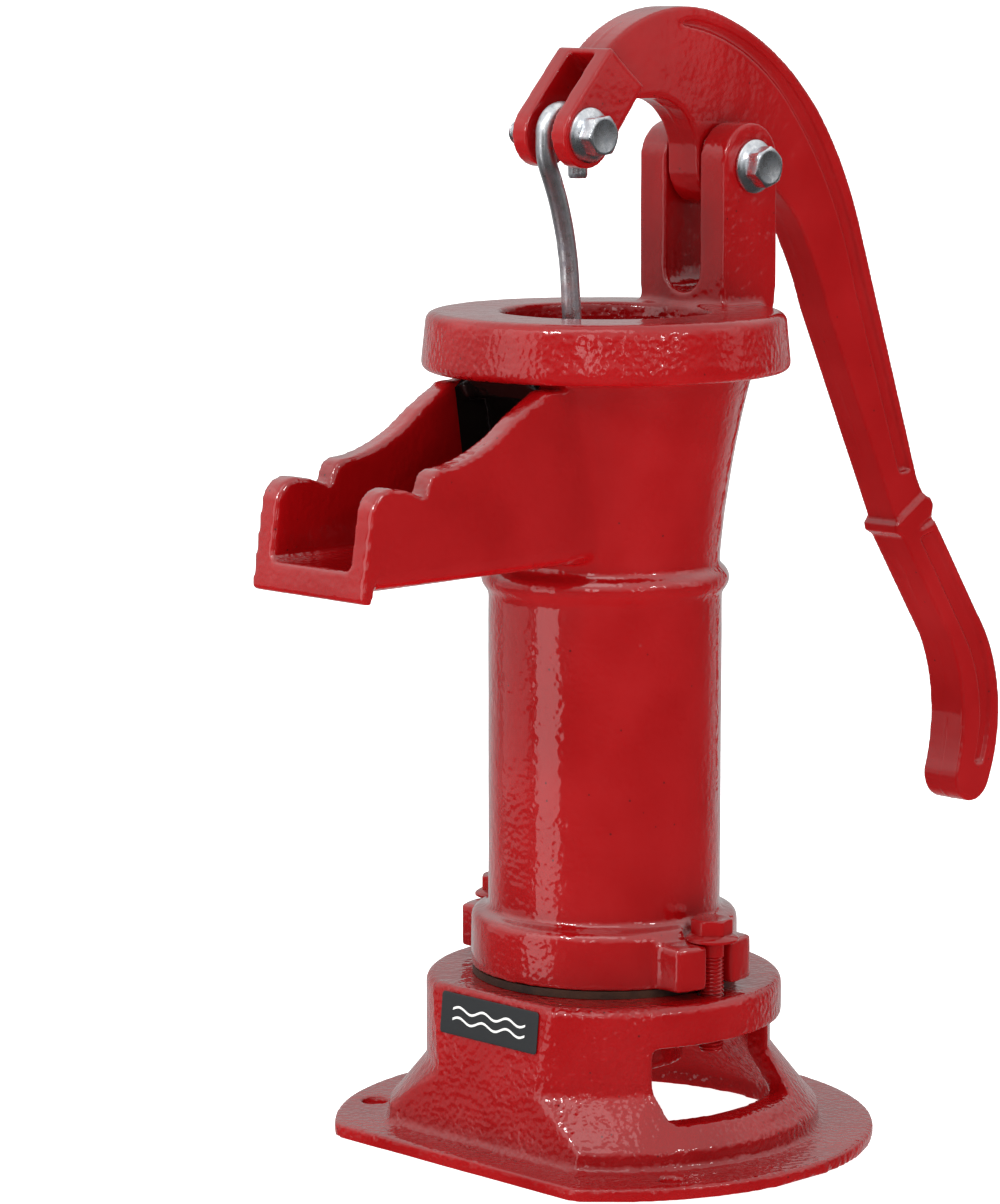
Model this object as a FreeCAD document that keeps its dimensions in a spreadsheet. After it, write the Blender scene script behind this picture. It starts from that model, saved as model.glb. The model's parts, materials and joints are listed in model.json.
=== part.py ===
import FreeCAD, Part
import math
import os
import Sketcher
from FreeCAD import Placement, Rotation, Vector

# A cast-iron pitcher pump: pedestal with a foot valve, cylinder with an open spout, swivel cap with
# two ears, lever handle, hooked rod and plunger.
# The pump's axis is Z and its foot stands on z = 0. The spout points to -X and the handle to +X.

SIZES = {
    # pedestal
    "foot_radius": 105.0,
    "foot_thickness": 5.5,
    "foot_chord": 82.5,
    "foot_corner": 6.0,
    "foot_bolt_circle": 93.3,
    "foot_hole_radius": 4.75,
    "foot_hole_count": 3,
    "skirt_radius": 83.7,
    "skirt_top": 14.0,
    "skirt_round": 1.7,
    "neck_radius": 64.8,
    "neck_bottom": 35.6,
    "plate_radius": 69.0,
    "plate_bottom": 48.0,
    "plate_top": 64.0,
    "plate_edge": 3.0,
    "pedestal_wall": 8.8,
    "plate_ledge": 4.0,
    "face_top": 61.0,
    "face_bottom": 66.85,
    "window_half_width": 33.0,
    "window_sill": 20.5,
    "window_corner": 3.0,
    "boss_radius": 31.0,
    "boss_bottom": 30.0,
    "inlet_radius": 19.25,
    "inlet_depth": 25.0,
    "seat_radius": 16.0,
    # label on the pedestal's front face
    "label_width": 52.0,
    "label_height": 16.0,
    "label_thickness": 0.6,
    "label_middle": 53.5,
    # foot valve
    "leather_thickness": 3.0,
    "leather_radius": 51.0,
    "leather_hole": 25.0,
    "running_gap": 0.3,
    "flap_radius": 21.0,
    "tongue_half_width": 8.0,
    "weight_radius": 15.0,
    "weight_height": 9.0,
    "flap_screw_radius": 2.5,
    "flap_screw_head": 5.0,
    "flap_nut_radius": 9.0,
    "flap_nut_height": 3.0,
    # cylinder
    "bore_radius": 38.0,
    "cylinder_radius": 45.0,
    "flange_radius": 51.7,
    "flange_height": 22.5,
    "flange_round": 3.5,
    "cylinder_top": 213.5,
    "bead_height": 10.2,
    "bead_round": 5.6,
    "flare_radius": 56.0,
    "flare_top": 297.0,
    "flare_bend": 400.0,
    "throat_wall": 7.5,
    "rim_radius": 62.5,
    "rim_height": 14.0,
    # bolt lugs
    "lug_bolt_circle": 57.0,
    "lug_reach": 62.4,
    "lug_half_width": 20.4,
    "lug_height": 17.8,
    "lug_slot_width": 12.5,
    # spout
    "spout_half_width": 30.0,
    "spout_wall": 9.5,
    "spout_floor": 8.0,
    "spout_bottom": 229.0,
    "spout_reach": 147.5,
    "spout_corner": 7.0,
    "lip_thickness": 5.0,
    "lip_proud": 2.0,
    "lip_drop": 4.0,
    "lip_top": 266.6,
    # cap
    "cap_radius": 70.6,
    "cap_draft": 1.6,
    "cap_height": 23.0,
    "cap_plate": 9.2,
    "cap_hole": 40.0,
    "cap_round": 3.5,
    "cap_clearance": 0.4,
    "ear_middle": 56.6,
    "ear_half_width": 14.9,
    "ear_rise": 70.0,
    "ear_outside": 22.7,
    "ear_slot": 9.0,
    "ear_slot_floor": 4.5,
    "ear_gusset": 9.0,
    "set_screw_radius": 3.0,
    "set_screw_angle": 20.0,
    "set_screw_spacing": 80.0,
    # bolts
    "bolt_radius": 4.75,
    "close_fit": 0.05,
    "bolt_flange_radius": 10.3,
    "bolt_flange_height": 1.8,
    "bolt_across_flats": 14.2,
    "bolt_head_height": 8.5,
    "bolt_tip": 5.3,
    "hex_chamfer": 1.2,
    "nut_height": 5.0,
    "flange_bolt_length": 43.0,
    # handle
    "fulcrum_x": 57.7,
    "fulcrum_rise": 53.1,
    "clevis_x": -24.2,
    "clevis_rise": 67.2,
    "web_thickness": 16.0,
    "hub_radius": 15.7,
    "fork_radius": 12.5,
    "fork_angle": 50.0,
    "fork_outside": 14.2,
    "fork_slot": 6.7,
    "fork_slot_depth": 30.0,
    "fork_block_length": 33.0,
    "grip_thickness": 18.6,
    "groove_depth": 2.0,
    "arm_drop": 274.6,
    "arm_reach": 171.2,
    # rod
    "rod_radius": 3.75,
    "hook_clearance": 0.2,
    "hook_tail": 16.7,
    "hook_shank": 3.0,
    "hook_swing": 25.0,
    "hook_neck_bend": 25.0,
    "rod_bend": 120.0,
    "rod_lean": 5.1,
    "rod_bottom": 187.0,
    "rod_nut_height": 7.0,
    "rod_nut_flats": 13.0,
    "rod_nut_gap": 2.0,
    # plunger
    "plunger_bottom": 153.0,
    "follower_height": 10.0,
    "follower_radius": 31.0,
    "cup_clearance": 0.4,
    "cup_thickness": 3.0,
    "cup_height": 18.0,
    "cage_base": 6.0,
    "cage_radius": 30.0,
    "cage_inside": 22.0,
    "cage_height": 42.0,
    "cage_window": 13.0,
    "spigot_radius": 20.0,
    "spigot_depth": 8.0,
    "bridge_thickness": 8.0,
    "bridge_slot_middle": -3.5,
    "bridge_slot_reach": 6.25,
    "bridge_slot_play": 0.65,
    "valve_hole": 14.0,
    "valve_gap": 0.3,
    "poppet_radius": 18.0,
    "poppet_thickness": 3.0,
    "facing_thickness": 1.5,
    "wing_thickness": 2.5,
    "wing_length": 14.0,
    "wing_clearance": 0.4,
}


class Size:
    """A number together with the sheet expression that gives it, so that sums of sizes stay linked."""

    def __init__(self, number, text):
        self.number = float(number)
        self.text = text

    def __add__(self, other):
        other = as_size(other)
        return Size(self.number + other.number, f"({self.text} + {other.text})")

    def __sub__(self, other):
        other = as_size(other)
        return Size(self.number - other.number, f"({self.text} - {other.text})")

    def __mul__(self, other):
        other = as_size(other)
        return Size(self.number * other.number, f"({self.text} * {other.text})")

    def __truediv__(self, other):
        other = as_size(other)
        return Size(self.number / other.number, f"({self.text} / {other.text})")

    def __neg__(self):
        return Size(-self.number, f"(0 - {self.text})")


def as_size(value):
    if isinstance(value, Size):
        return value
    return Size(value, f"({value})")


def cosine(angle):
    """The cosine of a size in degrees."""
    return Size(math.cos(math.radians(angle.number)), f"cos({angle.text})")


def sine(angle):
    """The sine of a size in degrees."""
    return Size(math.sin(math.radians(angle.number)), f"sin({angle.text})")


def root(area):
    """The square root of a size."""
    return Size(math.sqrt(area.number), f"sqrt({area.text})")


class Sizes:
    """The sheet's cells, read as attributes."""

    def __init__(self, sheet, values):
        for row, (alias, number) in enumerate(values.items(), start=1):
            sheet.set(f"A{row}", alias)
            sheet.set(f"B{row}", str(number))
            sheet.setAlias(f"B{row}", alias)
            setattr(self, alias, Size(number, f"sizes.{alias}"))


doc = FreeCAD.newDocument("pitcher_pump")
sheet = doc.addObject("Spreadsheet::Sheet", "sizes")
S = Sizes(sheet, SIZES)
doc.recompute()

subparts = []


# Helpers for bodies, sketches and features.

def keep(thing, label):
    """Name a finished sub-part and put it on the list of pieces to export."""
    thing.Label = label
    subparts.append(thing)
    return thing


def new_body(name):
    return doc.addObject("PartDesign::Body", name)


def bind(thing, name, value):
    thing.setExpression(name, as_size(value).text)


def sketch_on(body, plane, offset=0):
    """A sketch on one of the body's own origin planes, moved along the plane's normal."""
    sketch = body.newObject("Sketcher::SketchObject", f"{body.Name}_sketch")
    for feature in body.Origin.OriginFeatures:
        if feature.Role == plane:
            sketch.AttachmentSupport = (feature, [""])
    sketch.MapMode = "FlatFace"
    bind(sketch, "AttachmentOffset.Base.z", offset)
    return sketch


def arc_between(here, there, radius):
    """An arc that bends left for a positive radius, and the numbers of its first and last point."""
    chord = there - here
    half = chord.Length / 2
    away = math.sqrt(max(radius * radius - half * half, 0.0))
    left = Vector(-chord.y, chord.x, 0) / chord.Length
    centre = (here + there) / 2 + left * math.copysign(away, radius)
    first, last = (here, there) if radius > 0 else (there, here)
    begin = math.atan2(first.y - centre.y, first.x - centre.x)
    end = math.atan2(last.y - centre.y, last.x - centre.x)
    if end < begin:
        end += 2 * math.pi
    circle = Part.Circle(centre, Vector(0, 0, 1), abs(radius))
    return Part.ArcOfCircle(circle, begin, end), ((1, 2) if radius > 0 else (2, 1))


def constrain(sketch, value, *constraint):
    """Add a constraint with a size and bind it to the sheet."""
    index = sketch.addConstraint(Sketcher.Constraint(*constraint, as_size(value).number))
    bind(sketch, f"Constraints[{index}]", value)


def fix_point(sketch, side, end, corner):
    constrain(sketch, corner[0], "DistanceX", -1, 1, side, end)
    constrain(sketch, corner[1], "DistanceY", -1, 1, side, end)


def draw(sketch, corners, closed=True):
    """Draw an outline through the corners. A corner is (x, y), or (x, y, radius) where the side that
    leaves it is an arc, which bends left for a positive radius and right for a negative one."""
    points = [Vector(as_size(corner[0]).number, as_size(corner[1]).number, 0) for corner in corners]
    count = len(corners) if closed else len(corners) - 1
    sides = []
    for index in range(count):
        here = points[index]
        there = points[(index + 1) % len(points)]
        if len(corners[index]) == 2:
            geometry, ends = Part.LineSegment(here, there), (1, 2)
        else:
            geometry, ends = arc_between(here, there, as_size(corners[index][2]).number)
        sides.append((sketch.addGeometry(geometry, False), ends))
    for index, (side, ends) in enumerate(sides):
        if closed or index > 0:
            before, before_ends = sides[index - 1]
            sketch.addConstraint(Sketcher.Constraint("Coincident", before, before_ends[1], side, ends[0]))
        fix_point(sketch, side, ends[0], corners[index])
        if len(corners[index]) == 3:
            radius = as_size(corners[index][2])
            constrain(sketch, radius if radius.number > 0 else -radius, "Radius", side)
    if not closed:
        side, ends = sides[-1]
        fix_point(sketch, side, ends[1], corners[-1])
    return sketch


def circle(sketch, x, y, radius):
    centre = Vector(as_size(x).number, as_size(y).number, 0)
    side = sketch.addGeometry(Part.Circle(centre, Vector(0, 0, 1), as_size(radius).number), False)
    fix_point(sketch, side, 3, (x, y))
    constrain(sketch, radius, "Radius", side)
    return sketch


def hexagon(sketch, across_flats):
    """A hexagon about the sketch's origin."""
    corner = as_size(across_flats) / root(as_size(3))
    angles = [as_size(60 * step) for step in range(6)]
    return draw(sketch, [(corner * cosine(angle), corner * sine(angle)) for angle in angles])


def pad(body, sketch, length, symmetric=False, upside_down=False):
    feature = body.newObject("PartDesign::Pad", f"{body.Name}_pad")
    feature.Profile = sketch
    bind(feature, "Length", length)
    feature.SideType = "Symmetric" if symmetric else "One side"
    feature.Reversed = upside_down
    return feature


def pocket(body, sketch, length=None, symmetric=False, upside_down=False):
    """Cut a sketch out of a body, by a length or, with none, through everything both ways."""
    feature = body.newObject("PartDesign::Pocket", f"{body.Name}_pocket")
    feature.Profile = sketch
    if length is None:
        feature.Type = "ThroughAll"
        feature.SideType = "Symmetric"
    else:
        bind(feature, "Length", length)
        feature.SideType = "Symmetric" if symmetric else "One side"
    feature.Reversed = upside_down
    return feature


def turned(body, kind, sketch, angle=360, symmetric=False):
    """Turn a sketch about its own vertical axis, to add it or to cut it."""
    feature = body.newObject(kind, f"{body.Name}_turned")
    feature.Profile = sketch
    feature.ReferenceAxis = (sketch, ["V_Axis"])
    bind(feature, "Angle", angle)
    feature.Midplane = symmetric
    return feature


def revolve(body, corners):
    return turned(body, "PartDesign::Revolution", draw(sketch_on(body, "XZ_Plane"), corners))


def groove(body, corners):
    return turned(body, "PartDesign::Groove", draw(sketch_on(body, "XZ_Plane"), corners))


def around_axis(body, feature, count, angle):
    """Repeat a feature about the body's Z axis."""
    pattern = body.newObject("PartDesign::PolarPattern", f"{body.Name}_pattern")
    pattern.Originals = [feature]
    pattern.Axis = (feature.Profile[0], ["N_Axis"])
    bind(pattern, "Angle", angle)
    bind(pattern, "Occurrences", count)
    body.Tip = pattern
    return pattern


def mirrored(body, feature, plane):
    """Repeat a feature on the other side of one of the body's origin planes."""
    mirror = body.newObject("PartDesign::Mirrored", f"{body.Name}_mirror")
    mirror.Originals = [feature]
    for origin_feature in body.Origin.OriginFeatures:
        if origin_feature.Role == plane:
            mirror.MirrorPlane = (origin_feature, [""])
    body.Tip = mirror
    return mirror


def round_edges(body, radius, chosen):
    """Round the edges of the body's last feature that pass the test."""
    doc.recompute()
    last = body.Tip
    names = [f"Edge{index}" for index, edge in enumerate(last.Shape.Edges, start=1) if chosen(edge)]
    if not names:
        raise RuntimeError(f"{body.Name}: no edge to round")
    feature = body.newObject("PartDesign::Fillet", f"{body.Name}_round")
    feature.Base = (last, names)
    bind(feature, "Radius", radius)
    return feature


def lies_at(edge, axis, value):
    """Whether an edge lies wholly at a value along an axis."""
    box = edge.BoundBox
    low, high = getattr(box, f"{axis}Min"), getattr(box, f"{axis}Max")
    return abs(low - value.number) < 0.05 and abs(high - value.number) < 0.05


def combine(kind, name, base, tool):
    feature = doc.addObject(kind, name)
    feature.Base = base
    feature.Tool = tool
    return feature


# Values that several pieces share.

body_bottom = S.plate_top + S.leather_thickness
lug_top = body_bottom + S.lug_height

# The plunger's radii are drawn for a 38 mm bore, and follow the bore when it changes.
for plunger_size in ("follower_radius", "cage_radius", "cage_inside", "cage_window", "spigot_radius",
                     "valve_hole", "poppet_radius"):
    setattr(S, plunger_size, getattr(S, plunger_size) * (S.bore_radius / 38))

bead_top = S.cylinder_top + S.bead_height
rim_top = S.flare_top + S.rim_height
cap_under = rim_top + S.running_gap
cap_top = cap_under + S.cap_plate
ear_top = cap_top + S.ear_rise
fulcrum_z = cap_top + S.fulcrum_rise
clevis_z = cap_top + S.clevis_rise
hook_radius = S.bolt_radius + S.hook_clearance + S.rod_radius
bolt_hole = S.bolt_radius + S.close_fit
face_slope = (S.face_bottom - S.face_top) / (S.plate_top - S.foot_thickness)
cage_bottom = S.plunger_bottom + S.follower_height + S.cup_thickness
cage_floor = cage_bottom + S.cage_base
cage_top = cage_bottom + S.cage_height


# Pedestal

def skirt_line(z):
    """The radius of the conical skirt at a height."""
    run = S.skirt_radius - S.skirt_round - S.neck_radius
    return S.neck_radius + run * (S.neck_bottom - z) / (S.neck_bottom - S.skirt_top)


def pedestal_outside():
    body = new_body("pedestal_outside")
    shoulder = S.skirt_radius - S.skirt_round
    revolve(body, [
        (0, 0),
        (S.foot_radius, 0),
        (S.foot_radius, S.foot_thickness),
        (S.skirt_radius, S.foot_thickness),
        (S.skirt_radius, S.skirt_top - S.skirt_round, S.skirt_round * 1.2),
        (shoulder, S.skirt_top),
        (S.neck_radius, S.neck_bottom),
        (S.neck_radius, S.plate_bottom),
        (S.plate_radius, S.plate_bottom),
        (S.plate_radius, S.plate_top - S.plate_edge, S.plate_edge * 1.1),
        (S.plate_radius - S.plate_edge, S.plate_top),
        (0, S.plate_top),
    ])
    # the pillar under the label is as wide as the plate
    pillar_bottom = S.neck_bottom - (S.plate_radius - S.neck_radius) * (
        S.neck_bottom - S.skirt_top) / (shoulder - S.neck_radius)
    pillar = draw(sketch_on(body, "XZ_Plane"), [
        (-S.neck_radius + 1, S.plate_bottom),
        (-S.plate_radius, S.plate_bottom),
        (-S.plate_radius, pillar_bottom),
        (-S.neck_radius + 1, pillar_bottom),
    ])
    turned(body, "PartDesign::Revolution", pillar, 120, symmetric=True)
    beyond = S.foot_radius + 10
    front = draw(sketch_on(body, "XZ_Plane"), [
        (-S.face_bottom, S.foot_thickness),
        (-S.face_top + face_slope, S.plate_top + 1),
        (-beyond, S.plate_top + 1),
        (-beyond, S.foot_thickness),
    ])
    pocket(body, front)
    foot_end = draw(sketch_on(body, "XY_Plane"), [
        (-S.foot_chord, -beyond),
        (-S.foot_chord, beyond),
        (-beyond, beyond),
        (-beyond, -beyond),
    ])
    pocket(body, foot_end)
    half_chord = root(S.foot_radius * S.foot_radius - S.foot_chord * S.foot_chord)
    round_edges(body, S.foot_corner, lambda edge: lies_at(edge, "X", -S.foot_chord)
                and abs(abs(edge.BoundBox.Center.y) - half_chord.number) < 0.1
                and edge.BoundBox.ZLength > S.foot_thickness.number / 2)
    return body


def pedestal_inside():
    """The hollow that leaves the pedestal's walls, flat behind the sloping front face."""
    body = new_body("pedestal_inside")
    ceiling = S.plate_bottom + S.plate_ledge
    revolve(body, [
        (0, -1),
        (skirt_line(S.skirt_top) - S.pedestal_wall + 2, -1),
        (skirt_line(S.skirt_top) - S.pedestal_wall + 2, S.foot_thickness + 2),
        (S.neck_radius - S.pedestal_wall, S.neck_bottom - 2),
        (S.neck_radius - S.pedestal_wall, ceiling),
        (0, ceiling),
    ])
    beyond = S.foot_radius + 10
    front = draw(sketch_on(body, "XZ_Plane"), [
        (-S.face_bottom + S.pedestal_wall - face_slope * (S.foot_thickness + 2), -2),
        (-S.face_top + S.pedestal_wall, S.plate_top),
        (-beyond, S.plate_top),
        (-beyond, -2),
    ])
    pocket(body, front)
    return body


def pedestal_windows():
    """One block that cuts the windows on both sides."""
    body = new_body("pedestal_windows")
    corner = S.window_corner
    outline = draw(sketch_on(body, "XZ_Plane"), [
        (-S.window_half_width, S.plate_bottom),
        (-S.window_half_width, S.window_sill + corner, corner),
        (-S.window_half_width + corner, S.window_sill),
        (S.window_half_width - corner, S.window_sill, corner),
        (S.window_half_width, S.window_sill + corner),
        (S.window_half_width, S.plate_bottom),
    ])
    pad(body, outline, S.foot_radius * 2, symmetric=True)
    return body


def inlet_boss():
    body = new_body("inlet_boss")
    revolve(body, [
        (0, S.boss_bottom),
        (S.boss_radius, S.boss_bottom),
        (S.boss_radius, S.plate_top - 2),
        (0, S.plate_top - 2),
    ])
    return body


def pedestal_bores():
    """The threaded inlet, the valve seat's hole, the two tapped bolt holes and the foot's holes."""
    body = new_body("pedestal_bores")
    inlet_end = S.boss_bottom + S.inlet_depth
    revolve(body, [
        (0, S.boss_bottom - 1),
        (S.inlet_radius, S.boss_bottom - 1),
        (S.inlet_radius, inlet_end),
        (S.seat_radius, inlet_end + 3),
        (S.seat_radius, S.plate_top + 1),
        (0, S.plate_top + 1),
    ])
    return body


def pin(name, x, y, bottom, top, radius):
    """An upright round block, used to cut a hole."""
    body = new_body(name)
    pad(body, circle(sketch_on(body, "XY_Plane", bottom), x, y, radius), top - bottom)
    return body


def foot_hole_pins():
    body = new_body("foot_hole_pins")
    hole = circle(sketch_on(body, "XY_Plane", -1), S.foot_bolt_circle, 0, S.foot_hole_radius)
    feature = pad(body, hole, S.foot_thickness + 2)
    doc.recompute()
    around_axis(body, feature, S.foot_hole_count, 360)
    return body


def base_pedestal():
    shell = combine("Part::Cut", "pedestal_shell", pedestal_outside(), pedestal_inside())
    opened = combine("Part::Cut", "pedestal_opened", shell, pedestal_windows())
    bossed = combine("Part::Fuse", "pedestal_bossed", opened, inlet_boss())
    bored = combine("Part::Cut", "pedestal_bored", bossed, pedestal_bores())
    for side, sign in (("near", -1), ("far", 1)):
        hole = pin(f"{side}_bolt_hole", 0, S.lug_bolt_circle * sign, 0, S.plate_top + 1, bolt_hole)
        bored = combine("Part::Cut", f"pedestal_{side}", bored, hole)
    keep(combine("Part::Cut", "base_pedestal", bored, foot_hole_pins()), "base_pedestal")


def name_label():
    label = doc.addObject("Part::Box", "name_label")
    bind(label, "Length", S.label_thickness)
    bind(label, "Width", S.label_width)
    bind(label, "Height", S.label_height)
    tilt = Size(math.degrees(math.atan(face_slope.number)), f"atan({face_slope.text})")
    bottom = S.label_middle - S.label_height / 2
    face_x = S.face_top + face_slope * (S.plate_top - bottom)
    label.Placement.Rotation = Rotation(Vector(0, 1, 0), tilt.number)
    bind(label, "Placement.Base.x", -face_x - S.label_thickness - S.close_fit)
    bind(label, "Placement.Base.y", -S.label_width / 2)
    bind(label, "Placement.Base.z", bottom)
    bind(label, "Placement.Rotation.Angle", tilt)
    keep(label, "name_label")


# Foot valve

def valve_leather():
    body = new_body("valve_leather")
    revolve(body, [
        (S.leather_hole, S.plate_top),
        (S.leather_radius, S.plate_top),
        (S.leather_radius, body_bottom),
        (S.leather_hole, body_bottom),
    ])
    keep(body, "valve_leather")


def valve_flap():
    """A disc with a tongue that reaches the hinge line at the ring's inner edge."""
    body = new_body("valve_flap")
    bottom = S.plate_top + S.running_gap
    flap_top = S.leather_thickness - S.running_gap
    pad(body, circle(sketch_on(body, "XY_Plane", bottom), 0, 0, S.flap_radius), flap_top)
    hinge_x = root(S.leather_hole * S.leather_hole - S.tongue_half_width * S.tongue_half_width)
    tongue = draw(sketch_on(body, "XY_Plane", bottom), [
        (S.weight_radius, -S.tongue_half_width),
        (hinge_x - S.running_gap, -S.tongue_half_width),
        (hinge_x - S.running_gap, S.tongue_half_width),
        (S.weight_radius, S.tongue_half_width),
    ])
    pad(body, tongue, flap_top)
    hole = circle(sketch_on(body, "XY_Plane", bottom), 0, 0, S.flap_screw_radius)
    pocket(body, hole)
    keep(body, "valve_flap")


def flap_weight():
    body = new_body("flap_weight")
    weight_top = body_bottom + S.weight_height
    revolve(body, [
        (S.flap_screw_radius, body_bottom),
        (S.weight_radius, body_bottom),
        (S.weight_radius, weight_top - 2),
        (S.weight_radius - 3, weight_top),
        (S.flap_screw_radius, weight_top),
    ])
    keep(body, "flap_weight")


def flap_screw():
    body = new_body("flap_screw")
    head_bottom = body_bottom + S.weight_height
    low_end = S.plate_top - S.flap_nut_height - 1
    revolve(body, [
        (0, low_end),
        (S.flap_screw_radius, low_end),
        (S.flap_screw_radius, head_bottom),
        (S.flap_screw_head, head_bottom),
        (S.flap_screw_head, head_bottom + 2),
        (S.flap_screw_head - 1, head_bottom + 3),
        (0, head_bottom + 3),
    ])
    keep(body, "flap_screw")


def flap_nut():
    body = new_body("flap_nut")
    nut_top = S.plate_top + S.running_gap
    revolve(body, [
        (S.flap_screw_radius, nut_top - S.flap_nut_height),
        (S.flap_nut_radius - 1, nut_top - S.flap_nut_height),
        (S.flap_nut_radius, nut_top - S.flap_nut_height + 1),
        (S.flap_nut_radius, nut_top),
        (S.flap_screw_radius, nut_top),
    ])
    keep(body, "flap_nut")


# Cylinder with its flared mouth and spout

def bolt_lugs(body):
    corner_y = root(S.lug_reach * S.lug_reach - S.lug_half_width * S.lug_half_width)
    lug = draw(sketch_on(body, "XY_Plane", body_bottom), [
        (-S.lug_half_width, S.bore_radius),
        (S.lug_half_width, S.bore_radius),
        (S.lug_half_width, corner_y, S.lug_reach),
        (-S.lug_half_width, corner_y),
    ])
    feature = pad(body, lug, S.lug_height)
    doc.recompute()
    mirrored(body, feature, "XZ_Plane")
    half_slot = S.lug_slot_width / 2
    slot = draw(sketch_on(body, "XY_Plane", body_bottom), [
        (-half_slot, S.lug_bolt_circle, half_slot),
        (0, S.lug_bolt_circle - half_slot, half_slot),
        (half_slot, S.lug_bolt_circle),
        (half_slot, S.lug_reach + 2),
        (-half_slot, S.lug_reach + 2),
    ])
    feature = pocket(body, slot, S.lug_height + 2, upside_down=True)
    doc.recompute()
    mirrored(body, feature, "XZ_Plane")
    seat_radius = S.bolt_flange_radius + S.running_gap
    seat = circle(sketch_on(body, "XY_Plane", lug_top), 0, -S.lug_bolt_circle, seat_radius)
    feature = pocket(body, seat, S.flange_height, upside_down=True)
    doc.recompute()
    mirrored(body, feature, "XZ_Plane")


def spout(body):
    """The open trough: a solid side profile, whose channel is cut later."""
    reach = S.spout_reach
    lip_face = reach + S.lip_proud
    foot_x = lip_face + 5
    root_x = -S.bore_radius / 2
    side = draw(sketch_on(body, "XZ_Plane"), [
        (root_x, S.spout_bottom),
        (root_x, S.flare_top - 1),
        (-S.flare_radius - 5, S.flare_top - 1),
        (-S.flare_radius - 22, S.flare_top - 10.5, -60),
        (-lip_face + 50.7, S.lip_top + 8.4, -60),
        (-lip_face + 39.5, S.lip_top + 5.4),
        (-lip_face + 33.9, S.lip_top + 4.8, 6),
        (-lip_face + 28.5, S.lip_top + 0.5),
        (-lip_face + 26.5, S.lip_top - 4.5),
        (-lip_face + 17.5, S.lip_top - 1.3),
        (-lip_face + 10.2, S.lip_top, 10),
        (-lip_face, S.lip_top - 9.6),
        (-foot_x, S.spout_bottom - S.lip_drop + 1),
        (-foot_x + S.lip_thickness, S.spout_bottom - S.lip_drop),
        (-foot_x + S.lip_thickness + 1, S.spout_bottom),
    ])
    pad(body, side, S.spout_half_width * 2, symmetric=True)


def spout_channel(body):
    floor = S.spout_bottom + S.spout_floor
    channel = draw(sketch_on(body, "XZ_Plane"), [
        (0, floor),
        (-S.spout_reach - 20, floor),
        (-S.spout_reach - 20, S.flare_top + 3),
        (-S.flare_radius - 4, S.flare_top + 3),
        (-S.flare_radius + 2, S.flare_top - 7),
        (0, S.flare_top - 7),
    ])
    pocket(body, channel, (S.spout_half_width - S.spout_wall) * 2, symmetric=True)


def pump_body():
    body = new_body("pump_body")
    flange_top = body_bottom + S.flange_height
    revolve(body, [
        (0, body_bottom),
        (S.flange_radius, body_bottom),
        (S.flange_radius, flange_top - S.flange_round, S.flange_round * 1.1),
        (S.flange_radius - S.flange_round, flange_top),
        (S.cylinder_radius, flange_top + 0.5),
        (S.cylinder_radius, S.cylinder_top, S.bead_round),
        (S.cylinder_radius - 1, bead_top, -S.flare_bend),
        (S.flare_radius, S.flare_top),
        (S.rim_radius, S.flare_top + 2.5),
        (S.rim_radius, rim_top),
        (0, rim_top),
    ])
    bolt_lugs(body)
    spout(body)
    throat = S.flare_radius - S.throat_wall
    groove(body, [
        (0, body_bottom - 1),
        (S.bore_radius, body_bottom - 1),
        (S.bore_radius, bead_top, -S.flare_bend),
        (throat, S.flare_top),
        (throat, rim_top + 1),
        (0, rim_top + 1),
    ])
    spout_channel(body)
    round_edges(body, S.spout_corner, lambda edge: lies_at(edge, "Z", S.spout_bottom)
                and edge.BoundBox.XLength > 50 and edge.BoundBox.YLength < 1)
    keep(body, "pump_body")


# Cap with its two ears

def top_cap():
    body = new_body("top_cap")
    skirt_bottom = cap_top - S.cap_height
    skirt_inside = S.rim_radius + S.cap_clearance
    bend = S.cap_round
    revolve(body, [
        (S.cap_hole, cap_under),
        (skirt_inside, cap_under),
        (skirt_inside, skirt_bottom),
        (S.cap_radius - bend, skirt_bottom, bend * 1.1),
        (S.cap_radius, skirt_bottom + bend),
        (S.cap_radius - S.cap_draft, cap_top - bend, bend * 1.1),
        (S.cap_radius - S.cap_draft - bend, cap_top),
        (S.cap_hole + 1.5, cap_top, 1.6),
        (S.cap_hole, cap_top - 1.5),
    ])
    crown = ear_top - S.ear_half_width
    ears = draw(sketch_on(body, "XZ_Plane"), [
        (S.ear_middle - S.ear_half_width, cap_top - 2),
        (S.cap_radius - S.cap_round, cap_top - S.ear_gusset),
        (S.ear_middle + S.ear_half_width, cap_top),
        (S.ear_middle + S.ear_half_width, crown, S.ear_half_width),
        (S.ear_middle, ear_top, S.ear_half_width),
        (S.ear_middle - S.ear_half_width, crown),
    ])
    pad(body, ears, S.ear_outside * 2, symmetric=True)
    slot_floor = cap_top + S.ear_slot_floor
    slot = draw(sketch_on(body, "YZ_Plane"), [
        (-S.ear_slot, slot_floor + S.ear_slot, S.ear_slot),
        (0, slot_floor, S.ear_slot),
        (S.ear_slot, slot_floor + S.ear_slot),
        (S.ear_slot, ear_top + 2),
        (-S.ear_slot, ear_top + 2),
    ])
    pocket(body, slot)
    pocket(body, circle(sketch_on(body, "XZ_Plane"), S.fulcrum_x, fulcrum_z, bolt_hole))
    screw_z = (skirt_bottom + cap_under) / 2
    for step in range(2):
        hole = circle(sketch_on(body, "YZ_Plane"), 0, screw_z, S.set_screw_radius)
        turn = S.set_screw_angle + S.set_screw_spacing * step
        hole.AttachmentOffset = Placement(Vector(0, 0, 0), Rotation(Vector(0, 1, 0), turn.number))
        bind(hole, "AttachmentOffset.Rotation.Angle", turn)
        pocket(body, hole, S.cap_radius + 5, upside_down=True)
    keep(body, "top_cap")


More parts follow.
